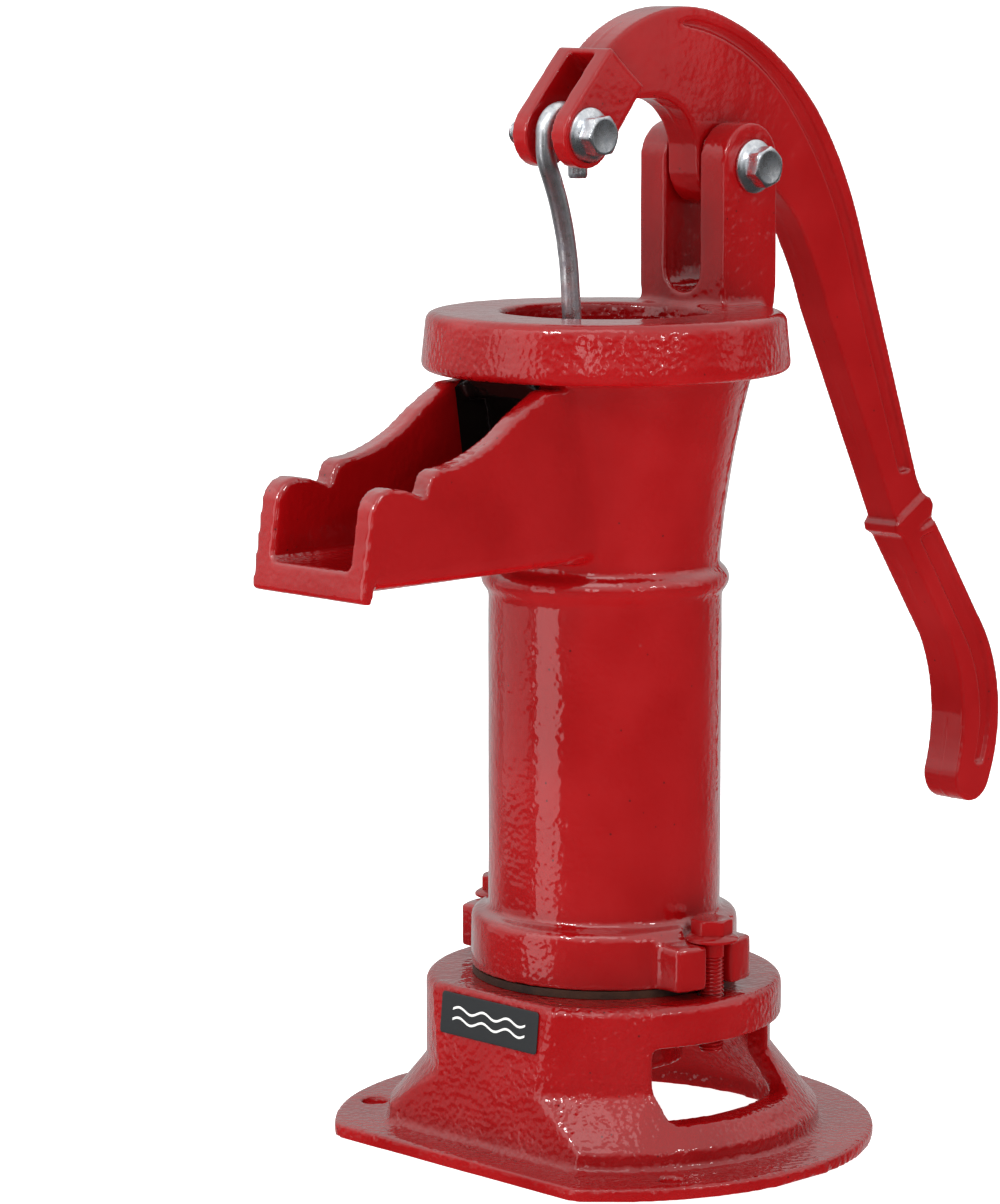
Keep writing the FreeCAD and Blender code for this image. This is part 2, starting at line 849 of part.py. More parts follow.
def cap_set_screws():
    """Two headless screws, pointed at the body's rim."""
    screws = []
    screw_z = (cap_top - S.cap_height + cap_under) / 2
    for step in range(2):
        body = new_body(f"set_screw_{step}")
        radius = S.set_screw_radius - S.close_fit
        tip = S.rim_radius + S.running_gap
        revolve(body, [
            (0, tip),
            (radius - 1.5, tip),
            (radius, tip + 1.5),
            (radius, S.cap_radius - 1),
            (radius - 0.5, S.cap_radius - 0.5),
            (0, S.cap_radius - 0.5),
        ])
        turn = S.set_screw_angle + S.set_screw_spacing * step
        lying = Rotation(Vector(0, 1, 0), 90)
        body.Placement = Placement(Vector(0, 0, 0), Rotation(Vector(0, 0, 1), turn.number) * lying)
        bind(body, "Placement.Base.z", screw_z)
        screws.append(body)
    group = doc.addObject("Part::Compound", "cap_set_screws")
    group.Links = screws
    keep(group, "cap_set_screws")


# Bolts and nuts. Each is made upright and then laid along its hole.

def flange_bolt(name, length):
    """A bolt with a hexagon head on a round flange. The flange seats on z = 0 and the shank points down."""
    body = new_body(name)
    radius = S.bolt_radius
    revolve(body, [
        (0, -length),
        (radius - 1, -length),
        (radius, -length + 1),
        (radius, 0),
        (S.bolt_flange_radius, 0),
        (S.bolt_flange_radius, S.bolt_flange_height * 0.6),
        (S.bolt_across_flats / 2, S.bolt_flange_height + 0.8),
        (0, S.bolt_flange_height + 0.8),
    ])
    head = hexagon(sketch_on(body, "XY_Plane", S.bolt_flange_height), S.bolt_across_flats)
    pad(body, head, S.bolt_head_height - S.bolt_flange_height)
    corner = S.bolt_across_flats / root(as_size(3))
    groove(body, [
        (corner - S.hex_chamfer, S.bolt_head_height),
        (corner + 1, S.bolt_head_height - S.hex_chamfer),
        (corner + 1, S.bolt_head_height + 1),
        (corner - S.hex_chamfer, S.bolt_head_height + 1),
    ])
    return body


def hex_nut(name, across_flats, height, hole_radius):
    """A plain nut that seats on z = 0 and stands up, with its corners turned off at both ends."""
    body = new_body(name)
    pad(body, hexagon(sketch_on(body, "XY_Plane"), across_flats), height)
    pocket(body, circle(sketch_on(body, "XY_Plane"), 0, 0, hole_radius))
    corner = across_flats / root(as_size(3))
    for end, beyond in ((as_size(0), as_size(-1)), (height, height + 1)):
        groove(body, [
            (corner - S.hex_chamfer, end),
            (corner + 1, end + (end - beyond) * S.hex_chamfer),
            (corner + 1, beyond),
            (corner - S.hex_chamfer, beyond),
        ])
    return body


def lay_along_y(body, x, y, z, towards):
    """Turn an upright piece so that its top points to -Y or +Y, and put its seat at a place."""
    angle = 90 if towards < 0 else -90
    body.Placement = Placement(Vector(0, 0, 0), Rotation(Vector(1, 0, 0), angle))
    bind(body, "Placement.Base.x", x)
    bind(body, "Placement.Base.y", y)
    bind(body, "Placement.Base.z", z)


def flange_bolts():
    bolts = []
    for side in (-1, 1):
        bolt = flange_bolt(f"flange_bolt_{side + 1}", S.flange_bolt_length)
        bind(bolt, "Placement.Base.y", S.lug_bolt_circle * side)
        bind(bolt, "Placement.Base.z", lug_top)
        bolts.append(bolt)
    group = doc.addObject("Part::Compound", "flange_bolts")
    group.Links = bolts
    keep(group, "flange_bolts")


def pivot_bolts():
    pivots = (("fulcrum", S.fulcrum_x, fulcrum_z, S.ear_outside),
              ("clevis", S.clevis_x, clevis_z, S.fork_outside))
    for name, x, z, outside in pivots:
        bolt = flange_bolt(f"{name}_bolt", outside * 2 + S.nut_height + S.bolt_tip)
        lay_along_y(bolt, x, -outside, z, -1)
        keep(bolt, f"{name}_bolt")
        nut = hex_nut(f"{name}_nut", S.bolt_across_flats, S.nut_height, bolt_hole)
        lay_along_y(nut, x, outside, z, 1)
        keep(nut, f"{name}_nut")


# Handle

# The height of the fulcrum that the arm's points are given for.
DRAWN_FULCRUM_Z = 373.6


def on_arm(x, z):
    """A place on the lower arm, given for the usual reach and drop from the fulcrum."""
    across = S.arm_reach * ((x - SIZES["fulcrum_x"]) / SIZES["arm_reach"])
    down = S.arm_drop * ((DRAWN_FULCRUM_Z - z) / SIZES["arm_drop"])
    return S.fulcrum_x + across, fulcrum_z - down


def from_fulcrum(x, z):
    return S.fulcrum_x + x, fulcrum_z + z


def from_clevis(angle, distance):
    return S.clevis_x + distance * cosine(as_size(angle)), clevis_z + distance * sine(as_size(angle))


def grip_inner_edge():
    return [
        on_arm(166.0, 217.8),
        (*on_arm(196.6, 173.3), -72),
        (*on_arm(201.0, 116.0), 12),
        (*on_arm(211.0, 103.0), 12),
    ]


def grip_outer_edge():
    return [
        (*on_arm(222.0, 109.5), 71),
        on_arm(212.8, 183.4),
        on_arm(185.5, 223.6),
    ]


def collar():
    """The raised band between the arm and the grip."""
    return [
        on_arm(164.0, 226.6),
        on_arm(160.4, 224.0),
        on_arm(161.2, 220.6),
        on_arm(167.0, 217.6),
        on_arm(183.4, 226.6),
        on_arm(184.3, 230.8),
        on_arm(182.2, 233.7),
        on_arm(178.6, 235.2),
    ]


def handle_outline():
    fork = S.fork_radius
    hub = S.hub_radius
    return [
        from_clevis(-40, fork),
        from_fulcrum(-56.3, 26.8),
        (*from_fulcrum(-36.9, 26.6), -22.5),
        (S.fulcrum_x - hub, fulcrum_z + 2.4),
        (S.fulcrum_x - hub, fulcrum_z, hub * 1.001),
        (S.fulcrum_x, fulcrum_z - hub, hub * 1.001),
        (S.fulcrum_x + hub * 0.766, fulcrum_z - hub * 0.643),
        (*from_fulcrum(24.3, -7.1), -63),
        (*on_arm(106.7, 339.6), -120),
        on_arm(118.3, 315.0),
        on_arm(155.4, 239.5),
        *grip_inner_edge(),
        *grip_outer_edge(),
        on_arm(174.6, 242.6),
        (*on_arm(138.9, 342.8), 163),
        (*from_fulcrum(55.8, 17.6), 124),
        (*from_fulcrum(-6.7, 59.2), 67.6),
        from_fulcrum(-65.5, 46.0),
        (*from_clevis(135, fork), fork * 1.001),
        (*from_clevis(227.5, fork), fork * 1.001),
    ]


def fork_block():
    """The raised block that carries the two prongs, square to the fork's direction."""
    axis = S.fork_angle
    block_end_x = S.clevis_x + S.fork_block_length * cosine(axis)
    block_end_z = clevis_z + S.fork_block_length * sine(axis)
    width = S.fork_radius
    return [
        from_clevis(-40, width),
        (block_end_x + width * 0.95 * sine(axis), block_end_z - width * 0.95 * cosine(axis)),
        (block_end_x - width * 0.9 * sine(axis), block_end_z + width * 0.9 * cosine(axis)),
        (*from_clevis(135, width), width * 1.001),
        (*from_clevis(227.5, width), width * 1.001),
    ]


def fork_slot():
    """The space between the prongs, which the rod's hook hangs in."""
    axis = S.fork_angle
    wide = S.fork_radius + 8
    corners = []
    for along, across in ((-30, -1), (S.fork_slot_depth, -1), (S.fork_slot_depth, 1), (-30, 1)):
        along = as_size(along)
        corners.append((
            S.clevis_x + along * cosine(axis) - wide * sine(axis) * across,
            clevis_z + along * sine(axis) + wide * cosine(axis) * across,
        ))
    return corners


def side_grooves(body):
    """Shallow channels that follow the back of the arm and of the grip, on both sides."""
    upper = [
        (*from_fulcrum(-33.5, 54.5), -97),
        (*from_fulcrum(39.5, 19.6), -177),
        on_arm(134.7, 323.6),
        on_arm(164.0, 245.0),
        on_arm(170.2, 246.0),
        (*on_arm(138.1, 331.0), 200),
        (*from_fulcrum(48.8, 18.4), 104),
        from_fulcrum(-16.8, 56.1),
    ]
    lower = [
        on_arm(176.0, 217.5),
        on_arm(201.4, 180.0),
        (*on_arm(208.5, 169.0), -62),
        on_arm(213.0, 119.0),
        (*on_arm(218.0, 119.0), 66),
        on_arm(210.5, 180.5),
        on_arm(184.2, 219.6),
    ]
    for outline, thickness in ((upper, S.web_thickness), (lower, S.grip_thickness)):
        sketch = draw(sketch_on(body, "XZ_Plane", thickness / 2), outline)
        feature = pocket(body, sketch, S.groove_depth)
        doc.recompute()
        mirrored(body, feature, "XZ_Plane")


def handle():
    body = new_body("handle")
    pad(body, draw(sketch_on(body, "XZ_Plane"), handle_outline()), S.web_thickness, symmetric=True)
    pad(body, draw(sketch_on(body, "XZ_Plane"), fork_block()), S.fork_outside * 2, symmetric=True)
    grip = grip_inner_edge() + grip_outer_edge()
    pad(body, draw(sketch_on(body, "XZ_Plane"), grip), S.grip_thickness, symmetric=True)
    pad(body, draw(sketch_on(body, "XZ_Plane"), collar()), S.grip_thickness, symmetric=True)
    pocket(body, draw(sketch_on(body, "XZ_Plane"), fork_slot()), S.fork_slot * 2, symmetric=True)
    pocket(body, circle(sketch_on(body, "XZ_Plane"), S.clevis_x, clevis_z, bolt_hole))
    pocket(body, circle(sketch_on(body, "XZ_Plane"), S.fulcrum_x, fulcrum_z, bolt_hole))
    side_grooves(body)
    keep(body, "handle")


# Rod

def rod_line(z):
    """The x of the straight rod's middle at a height."""
    x, bend_z = rod_bend_end()
    tangent = sine(S.rod_lean) / cosine(S.rod_lean)
    return x + (bend_z - z) * tangent


def neck_end():
    """Where the bend below the hook has swung furthest from the upright."""
    x = S.clevis_x - hook_radius + S.hook_neck_bend * (as_size(1) - cosine(S.hook_swing))
    z = clevis_z - S.hook_shank - S.hook_neck_bend * sine(S.hook_swing)
    return x, z


def rod_bend_end():
    """Where the long bend ends and the straight rod begins."""
    x, z = neck_end()
    x = x + S.rod_bend * (cosine(S.rod_lean) - cosine(S.hook_swing))
    z = z - S.rod_bend * (sine(S.hook_swing) - sine(S.rod_lean))
    return x, z


def plunger_rod():
    body = new_body("plunger_rod")
    right = S.clevis_x + hook_radius
    left = S.clevis_x - hook_radius
    path = draw(sketch_on(body, "XZ_Plane"), [
        (right, clevis_z - S.hook_tail),
        (right, clevis_z, hook_radius * 1.0005),
        (S.clevis_x, clevis_z + hook_radius, hook_radius * 1.0005),
        (left, clevis_z),
        (left, clevis_z - S.hook_shank, S.hook_neck_bend),
        (*neck_end(), -S.rod_bend),
        rod_bend_end(),
        (rod_line(S.rod_bottom), S.rod_bottom),
    ], closed=False)
    section = circle(sketch_on(body, "XY_Plane", clevis_z - S.hook_tail), right, 0, S.rod_radius)
    pipe = body.newObject("PartDesign::AdditivePipe", "plunger_rod_pipe")
    pipe.Profile = section
    pipe.Spine = (path, [])
    pipe.Transition = "Round corner"
    keep(body, "plunger_rod")


def rod_nut(name, bottom_z):
    body = hex_nut(name, S.rod_nut_flats, S.rod_nut_height, S.rod_radius + S.close_fit)
    body.Placement = Placement(Vector(0, 0, 0), Rotation(Vector(0, -1, 0), S.rod_lean.number))
    bind(body, "Placement.Rotation.Angle", S.rod_lean)
    bind(body, "Placement.Base.x", rod_line(bottom_z))
    bind(body, "Placement.Base.z", bottom_z)
    keep(body, name)


def rod_nuts():
    rod_nut("rod_top_nut", cage_top + S.rod_nut_gap)
    rod_nut("rod_end_nut", cage_top - S.bridge_thickness - S.rod_nut_gap - S.rod_nut_height)


# Plunger

def plunger_follower():
    body = new_body("plunger_follower")
    bottom = S.plunger_bottom
    revolve(body, [
        (S.valve_hole, bottom),
        (S.follower_radius - 2, bottom),
        (S.follower_radius, bottom + 2),
        (S.follower_radius, bottom + S.follower_height),
        (S.spigot_radius, bottom + S.follower_height),
        (S.spigot_radius, cage_bottom - S.spigot_depth),
        (S.valve_hole, cage_bottom - S.spigot_depth),
    ])
    keep(body, "plunger_follower")


def cup_leather():
    body = new_body("cup_leather")
    outside = S.bore_radius - S.cup_clearance
    bottom = S.plunger_bottom + S.follower_height
    inside = outside - S.cup_thickness
    revolve(body, [
        (S.spigot_radius, bottom),
        (outside - S.cup_thickness, bottom, S.cup_thickness * 1.1),
        (outside, bottom + S.cup_thickness),
        (outside, bottom + S.cup_height),
        (inside, bottom + S.cup_height),
        (inside, bottom + S.cup_thickness),
        (S.spigot_radius, bottom + S.cup_thickness),
    ])
    keep(body, "cup_leather")


def plunger_cage():
    body = new_body("plunger_cage")
    under_bridge = cage_top - S.bridge_thickness
    cup_inside = S.bore_radius - S.cup_clearance - S.cup_thickness
    revolve(body, [
        (S.valve_hole, cage_bottom - S.spigot_depth),
        (S.spigot_radius, cage_bottom - S.spigot_depth),
        (S.spigot_radius, cage_bottom),
        (cup_inside - S.cup_clearance, cage_bottom),
        (cup_inside - S.cup_clearance, cage_floor),
        (S.cage_radius, cage_floor),
        (S.cage_radius, cage_top - 2),
        (S.cage_radius - 2, cage_top),
        (0, cage_top),
        (0, under_bridge),
        (S.cage_inside, under_bridge),
        (S.cage_inside, cage_floor),
        (S.valve_hole, cage_floor),
    ])
    for plane in ("XZ_Plane", "YZ_Plane"):
        window = draw(sketch_on(body, plane), [
            (-S.cage_window, cage_floor),
            (S.cage_window, cage_floor),
            (S.cage_window, under_bridge),
            (-S.cage_window, under_bridge),
        ])
        pocket(body, window)
    middle = S.bridge_slot_middle
    wide = S.rod_radius + S.bridge_slot_play
    straight = S.rod_radius + S.bridge_slot_reach - wide
    slot = draw(sketch_on(body, "XY_Plane", under_bridge - 1), [
        (middle - straight, -wide),
        (middle + straight, -wide, wide * 1.001),
        (middle + straight + wide, 0, wide * 1.001),
        (middle + straight, wide),
        (middle - straight, wide, wide * 1.001),
        (middle - straight - wide, 0, wide * 1.001),
    ])
    pocket(body, slot, S.bridge_thickness + 3, upside_down=True)
    keep(body, "plunger_cage")


def poppet_valve():
    """A disc with four wings that guide it in the cage's hole."""
    body = new_body("poppet_valve")
    disc_bottom = cage_floor + S.valve_gap + S.facing_thickness
    disc_top = disc_bottom + S.poppet_thickness
    wing_radius = S.valve_hole - S.wing_clearance
    revolve(body, [
        (0, disc_bottom),
        (S.poppet_radius, disc_bottom),
        (S.poppet_radius, disc_top - 1),
        (S.poppet_radius - 3, disc_top),
        (0, disc_top),
    ])
    half = S.wing_thickness / 2
    for first, second in ((wing_radius, half), (half, wing_radius)):
        wing = draw(sketch_on(body, "XY_Plane", disc_bottom), [
            (-first, -second),
            (first, -second),
            (first, second),
            (-first, second),
        ])
        pad(body, wing, S.wing_length, upside_down=True)
    keep(body, "poppet_valve")


def poppet_facing():
    """The leather ring under the poppet's disc, outside its wings."""
    body = new_body("poppet_facing")
    bottom = cage_floor + S.valve_gap
    revolve(body, [
        (S.valve_hole, bottom),
        (S.poppet_radius, bottom),
        (S.poppet_radius, bottom + S.facing_thickness),
        (S.valve_hole, bottom + S.facing_thickness),
    ])
    keep(body, "poppet_facing")


def check_and_export():
    doc.recompute()
    for thing in doc.Objects:
        if "Invalid" in thing.State or "Error" in thing.State:
            raise RuntimeError(f"{thing.Label} failed: {thing.State}")
    os.makedirs("parts", exist_ok=True)
    for thing in subparts:
        if thing.Shape.isNull() or not thing.Shape.isValid():
            raise RuntimeError(f"{thing.Label} has no valid shape")
    for thing in subparts:
        thing.Shape.exportStep(f"parts/{thing.Label}.step")
        print(f"{thing.Label}: {len(thing.Shape.Solids)} solid(s), {thing.Shape.Volume / 1000:.1f} cm3")


base_pedestal()
name_label()
valve_leather()
valve_flap()
flap_weight()
flap_screw()
flap_nut()
pump_body()
flange_bolts()
top_cap()
cap_set_screws()
pivot_bolts()
handle()
plunger_rod()
rod_nuts()
plunger_follower()
cup_leather()
plunger_cage()
poppet_valve()
poppet_facing()
check_and_export()
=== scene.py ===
# %% [markdown]
# # A cast-iron pitcher pump
# A hand pump is a handful of sand castings in glossy red enamel, held together by a few plated
# bolts, with a steel rod that goes down into the cylinder. Its looks come from three things: rounded
# casting edges, the pebbly skin that sand leaves under thick paint, and the clean bright hardware.
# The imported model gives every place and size. This file only adds surfaces, materials and light.

# %% The frame and the units
import itertools
import json
import math

import bmesh
import bpy
import numpy as np
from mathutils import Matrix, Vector


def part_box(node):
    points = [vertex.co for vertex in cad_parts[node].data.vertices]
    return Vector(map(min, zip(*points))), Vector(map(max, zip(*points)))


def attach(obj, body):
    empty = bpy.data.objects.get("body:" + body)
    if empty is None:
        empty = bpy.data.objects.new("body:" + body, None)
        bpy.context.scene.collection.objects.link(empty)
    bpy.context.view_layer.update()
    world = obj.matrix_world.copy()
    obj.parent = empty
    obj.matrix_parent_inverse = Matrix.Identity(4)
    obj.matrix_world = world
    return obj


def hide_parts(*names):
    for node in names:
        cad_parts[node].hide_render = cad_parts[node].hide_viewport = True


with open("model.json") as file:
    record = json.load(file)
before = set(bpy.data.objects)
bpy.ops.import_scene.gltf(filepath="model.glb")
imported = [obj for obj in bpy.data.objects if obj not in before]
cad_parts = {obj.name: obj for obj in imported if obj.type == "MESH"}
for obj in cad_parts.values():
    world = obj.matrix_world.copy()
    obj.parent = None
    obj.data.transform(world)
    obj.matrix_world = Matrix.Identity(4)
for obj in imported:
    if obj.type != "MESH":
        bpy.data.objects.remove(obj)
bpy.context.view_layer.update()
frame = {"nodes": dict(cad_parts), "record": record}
MM = 0.001
scene = bpy.context.scene


def joint_place(name):
    """The pivot of one of the pump's joints, in millimetres."""
    joint = next(joint for joint in frame["record"]["behaviour"]["joints"] if joint["name"] == name)
    return np.array(joint["pos_m"]) / MM


def box_mm(node):
    """The lowest and highest corner of a CAD node, in millimetres."""
    low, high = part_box(node)
    return np.array(low) / MM, np.array(high) / MM


FULCRUM = joint_place("handle_lift")
CLEVIS = joint_place("hook_turn")
print("fulcrum", FULCRUM, "clevis", CLEVIS)

# %% [markdown]
# ## The camera
# A long lens far away keeps a tall object upright and calm, as in a catalogue. The camera stands
# round to the spout's side and a little above the middle, and looks slightly down.

# %% Camera
SPOUT_TURN = math.radians(44.48)
LOOK_DOWN = math.radians(8.39)
CAMERA_FAR = 1.7181
CAMERA_SIDE = -0.04033
CAMERA_HEIGHT = 0.46155
SENSOR = 36.0
FOCAL_SHARE = 3.757

camera_data = bpy.data.cameras.new("catalogue_camera")
camera = bpy.data.objects.new("catalogue_camera", camera_data)
scene.collection.objects.link(camera)
AWAY = Vector((-math.sin(SPOUT_TURN), -math.cos(SPOUT_TURN), 0))
RIGHT = Vector((math.cos(SPOUT_TURN), -math.sin(SPOUT_TURN), 0))
camera.location = AWAY * CAMERA_FAR + RIGHT * CAMERA_SIDE + Vector((0, 0, CAMERA_HEIGHT))
camera.rotation_euler = (math.radians(90) - LOOK_DOWN, 0, -SPOUT_TURN)
camera_data.sensor_width = SENSOR
camera_data.lens = SENSOR * FOCAL_SHARE
scene.camera = camera
print("lens", round(camera_data.lens, 1), "mm")

# %% [markdown]
# ## The studio
# Glossy enamel shows the room more than it shows itself. The pump stands on a pale lit table in a
# room that is dim in front and brighter above and behind, so that the faces towards the viewer stay
# deep red while ledges and far edges pick up a pale sheen. Tall softboxes put upright highlights on
# the round castings, and two small keys put glints on the edges and the pebbles.


# %% Colours and nodes
def linear(code, share=1.0):
    """An sRGB hex colour as linear values, times a share."""
    values = []
    for start in (0, 2, 4):
        value = int(code[start:start + 2], 16) / 255
        value = value / 12.92 if value <= 0.04045 else ((value + 0.055) / 1.055) ** 2.4
        values.append(value * share)
    return (*values, 1.0)


def add_node(tree, kind, settings=None, inputs=None):
    """Adds a node, sets its properties, and sets or links its inputs. A link is given as (node, output)."""
    node = tree.nodes.new(kind)
    for name, value in (settings or {}).items():
        setattr(node, name, value)
    for name, value in (inputs or {}).items():
        if isinstance(value, tuple) and isinstance(value[0], bpy.types.Node):
            tree.links.new(value[0].outputs[value[1]], node.inputs[name])
        else:
            node.inputs[name].default_value = value
    return node


# %% Room, floor and lights
ROOM_FRONT = 0.05
ROOM_BACK = 0.45
ROOM_TOP = 0.9

world = bpy.data.worlds.new("white_room")
scene.world = world
world.use_nodes = True
tree = world.node_tree
tree.nodes.clear()
direction = add_node(tree, "ShaderNodeTexCoord")
facing = add_node(tree, "ShaderNodeVectorMath", {"operation": "DOT_PRODUCT"},
                  {0: (direction, "Generated"), 1: tuple(-AWAY)})
behind = add_node(tree, "ShaderNodeMapRange", {"interpolation_type": "SMOOTHSTEP"},
                  {"Value": (facing, "Value"), "From Min": 0.35, "From Max": 0.95,
                   "To Min": ROOM_FRONT, "To Max": ROOM_BACK})
parts = add_node(tree, "ShaderNodeSeparateXYZ", None, {"Vector": (direction, "Generated")})
above = add_node(tree, "ShaderNodeMapRange", None,
                 {"Value": (parts, "Z"), "From Min": -0.04, "From Max": 0.6,
                  "To Min": 0.0, "To Max": ROOM_TOP})
level = add_node(tree, "ShaderNodeMath", {"operation": "MAXIMUM"},
                 {0: (behind, "Result"), 1: (above, "Result")})
room = add_node(tree, "ShaderNodeBackground", None,
                {"Color": (1, 1, 1, 1), "Strength": (level, "Value")})
add_node(tree, "ShaderNodeOutputWorld", None, {"Surface": (room, "Background")})
scene.view_settings.view_transform = "Standard"

floor_mesh = bpy.data.meshes.new("floor")
HALF_FLOOR = 60.0
floor_mesh.from_pydata([(-HALF_FLOOR, -HALF_FLOOR, 0), (HALF_FLOOR, -HALF_FLOOR, 0),
                        (HALF_FLOOR, HALF_FLOOR, 0), (-HALF_FLOOR, HALF_FLOOR, 0)], [], [(0, 1, 2, 3)])
floor = bpy.data.objects.new("floor", floor_mesh)
scene.collection.objects.link(floor)
# the paint reflects the dim end of the room, and not the lit table
floor.visible_glossy = False


def softbox(name, left, far, height, size, brightness):
    """A softbox at an angle to the left of the camera, seen from the pump, that faces the pump.
    Brightness is beside a white wall's 1, and the power is that times pi times the area."""
    lamp = bpy.data.lights.new(name, "AREA")
    lamp.shape = "RECTANGLE"
    lamp.size, lamp.size_y = size
    lamp.energy = brightness * math.pi * size[0] * size[1]
    lamp_object = bpy.data.objects.new(name, lamp)
    scene.collection.objects.link(lamp_object)
    turn = math.radians(left)
    toward = AWAY * math.cos(turn) - RIGHT * math.sin(turn)
    lamp_object.location = toward * far + Vector((0, 0, height))
    aim = Vector((0, 0, 0.22)) - lamp_object.location
    lamp_object.rotation_euler = aim.to_track_quat("-Z", "Y").to_euler()


softbox("left_softbox", 60, 1.6, 0.45, (0.75, 1.7), 1.0)
softbox("left_wall", 100, 1.6, 0.55, (1.3, 1.6), 0.3)
softbox("high_front", 12, 1.0, 1.6, (1.1, 0.7), 1.3)
softbox("key_left", 38, 1.4, 1.15, (0.16, 0.16), 60.0)
softbox("key_right", -48, 1.5, 0.95, (0.12, 0.12), 40.0)
softbox("right_wall", -85, 1.6, 0.8, (0.5, 1.0), 0.4)
softbox("middle_strip", 12, 2.1, 0.75, (0.22, 0.75), 2.2)
softbox("right_strip", -30, 2.1, 0.62, (0.25, 0.7), 1.6)
print("studio ready")

# %% [markdown]
# ## Red enamel
# Alkyd enamel sprayed thickly over a raw sand casting. The paint levels the finest grain and leaves
# an orange peel of its own, so the surface is very glossy yet uneven: reflections break into short
# bright worms, 2 to 3 mm long, where the sand was coarse, and run smooth where the pattern was fair.
# A dielectric with a clear coat gives the gloss, and two sizes of bump give the pebbles and the peel.


# %% Red enamel
def material(name, settings):
    """A new material with a principled shader. Settings are the shader's own socket values."""
    made = bpy.data.materials.new(name)
    made.use_nodes = True
    shader = made.node_tree.nodes["Principled BSDF"]
    for socket, value in settings.items():
        shader.inputs[socket].default_value = value
    return made, made.node_tree, shader


def noise(tree, place, millimetres, detail=2.0, roughness=0.5):
    """A noise node whose grains are about this many millimetres across."""
    return add_node(tree, "ShaderNodeTexNoise", None, {
        "Vector": (place, "Object"), "Scale": 1.0 / (millimetres * MM), "Detail": detail,
        "Roughness": roughness})


def ramp(tree, source, output, low, high, dark=0.0, light=1.0):
    """Stretches the part of a value between low and high to dark and light."""
    return add_node(tree, "ShaderNodeMapRange", None, {
        "Value": (source, output), "From Min": low, "From Max": high, "To Min": dark, "To Max": light})


def paint_outside_shade_inside(tree, place):
    """1 outside the middle of the casting's wall and 0 inside it, where the enamel gives way to a near-black
    painted shade. The middle of the wall is 41.5 mm from the axis in the cylinder and leans out to 52 mm at
    the rim.
    Over the trough's floor it is 12 mm further out, which takes in the throat and paints its shade dark."""
    parts = add_node(tree, "ShaderNodeSeparateXYZ", None, {"Vector": (place, "Object")})
    flat = add_node(tree, "ShaderNodeCombineXYZ", None, {"X": (parts, "X"), "Y": (parts, "Y"), "Z": 0.0})
    radius = add_node(tree, "ShaderNodeVectorMath", {"operation": "LENGTH"}, {0: (flat, "Vector")})
    middle = ramp(tree, parts, "Z", 224 * MM, 297 * MM, 41.5 * MM, 52 * MM)
    aside = add_node(tree, "ShaderNodeMath", {"operation": "ABSOLUTE"}, {0: (parts, "Y")})
    between = ramp(tree, aside, "Value", 20.7 * MM, 20.8 * MM, 12 * MM, 0.0)
    ahead = ramp(tree, parts, "X", -30 * MM, -20 * MM, 1.0, 0.0)
    over = ramp(tree, parts, "Z", 238 * MM, 246 * MM)
    for share in (ahead, over):
        between = add_node(tree, "ShaderNodeMath", {"operation": "MULTIPLY"}, {
            0: (between, 0), 1: (share, "Result")})
    edge = add_node(tree, "ShaderNodeMath", {"operation": "ADD"}, {
        0: (middle, "Result"), 1: (between, "Value")})
    return add_node(tree, "ShaderNodeMath", {"operation": "GREATER_THAN"}, {
        0: (radius, "Value"), 1: (edge, "Value")})


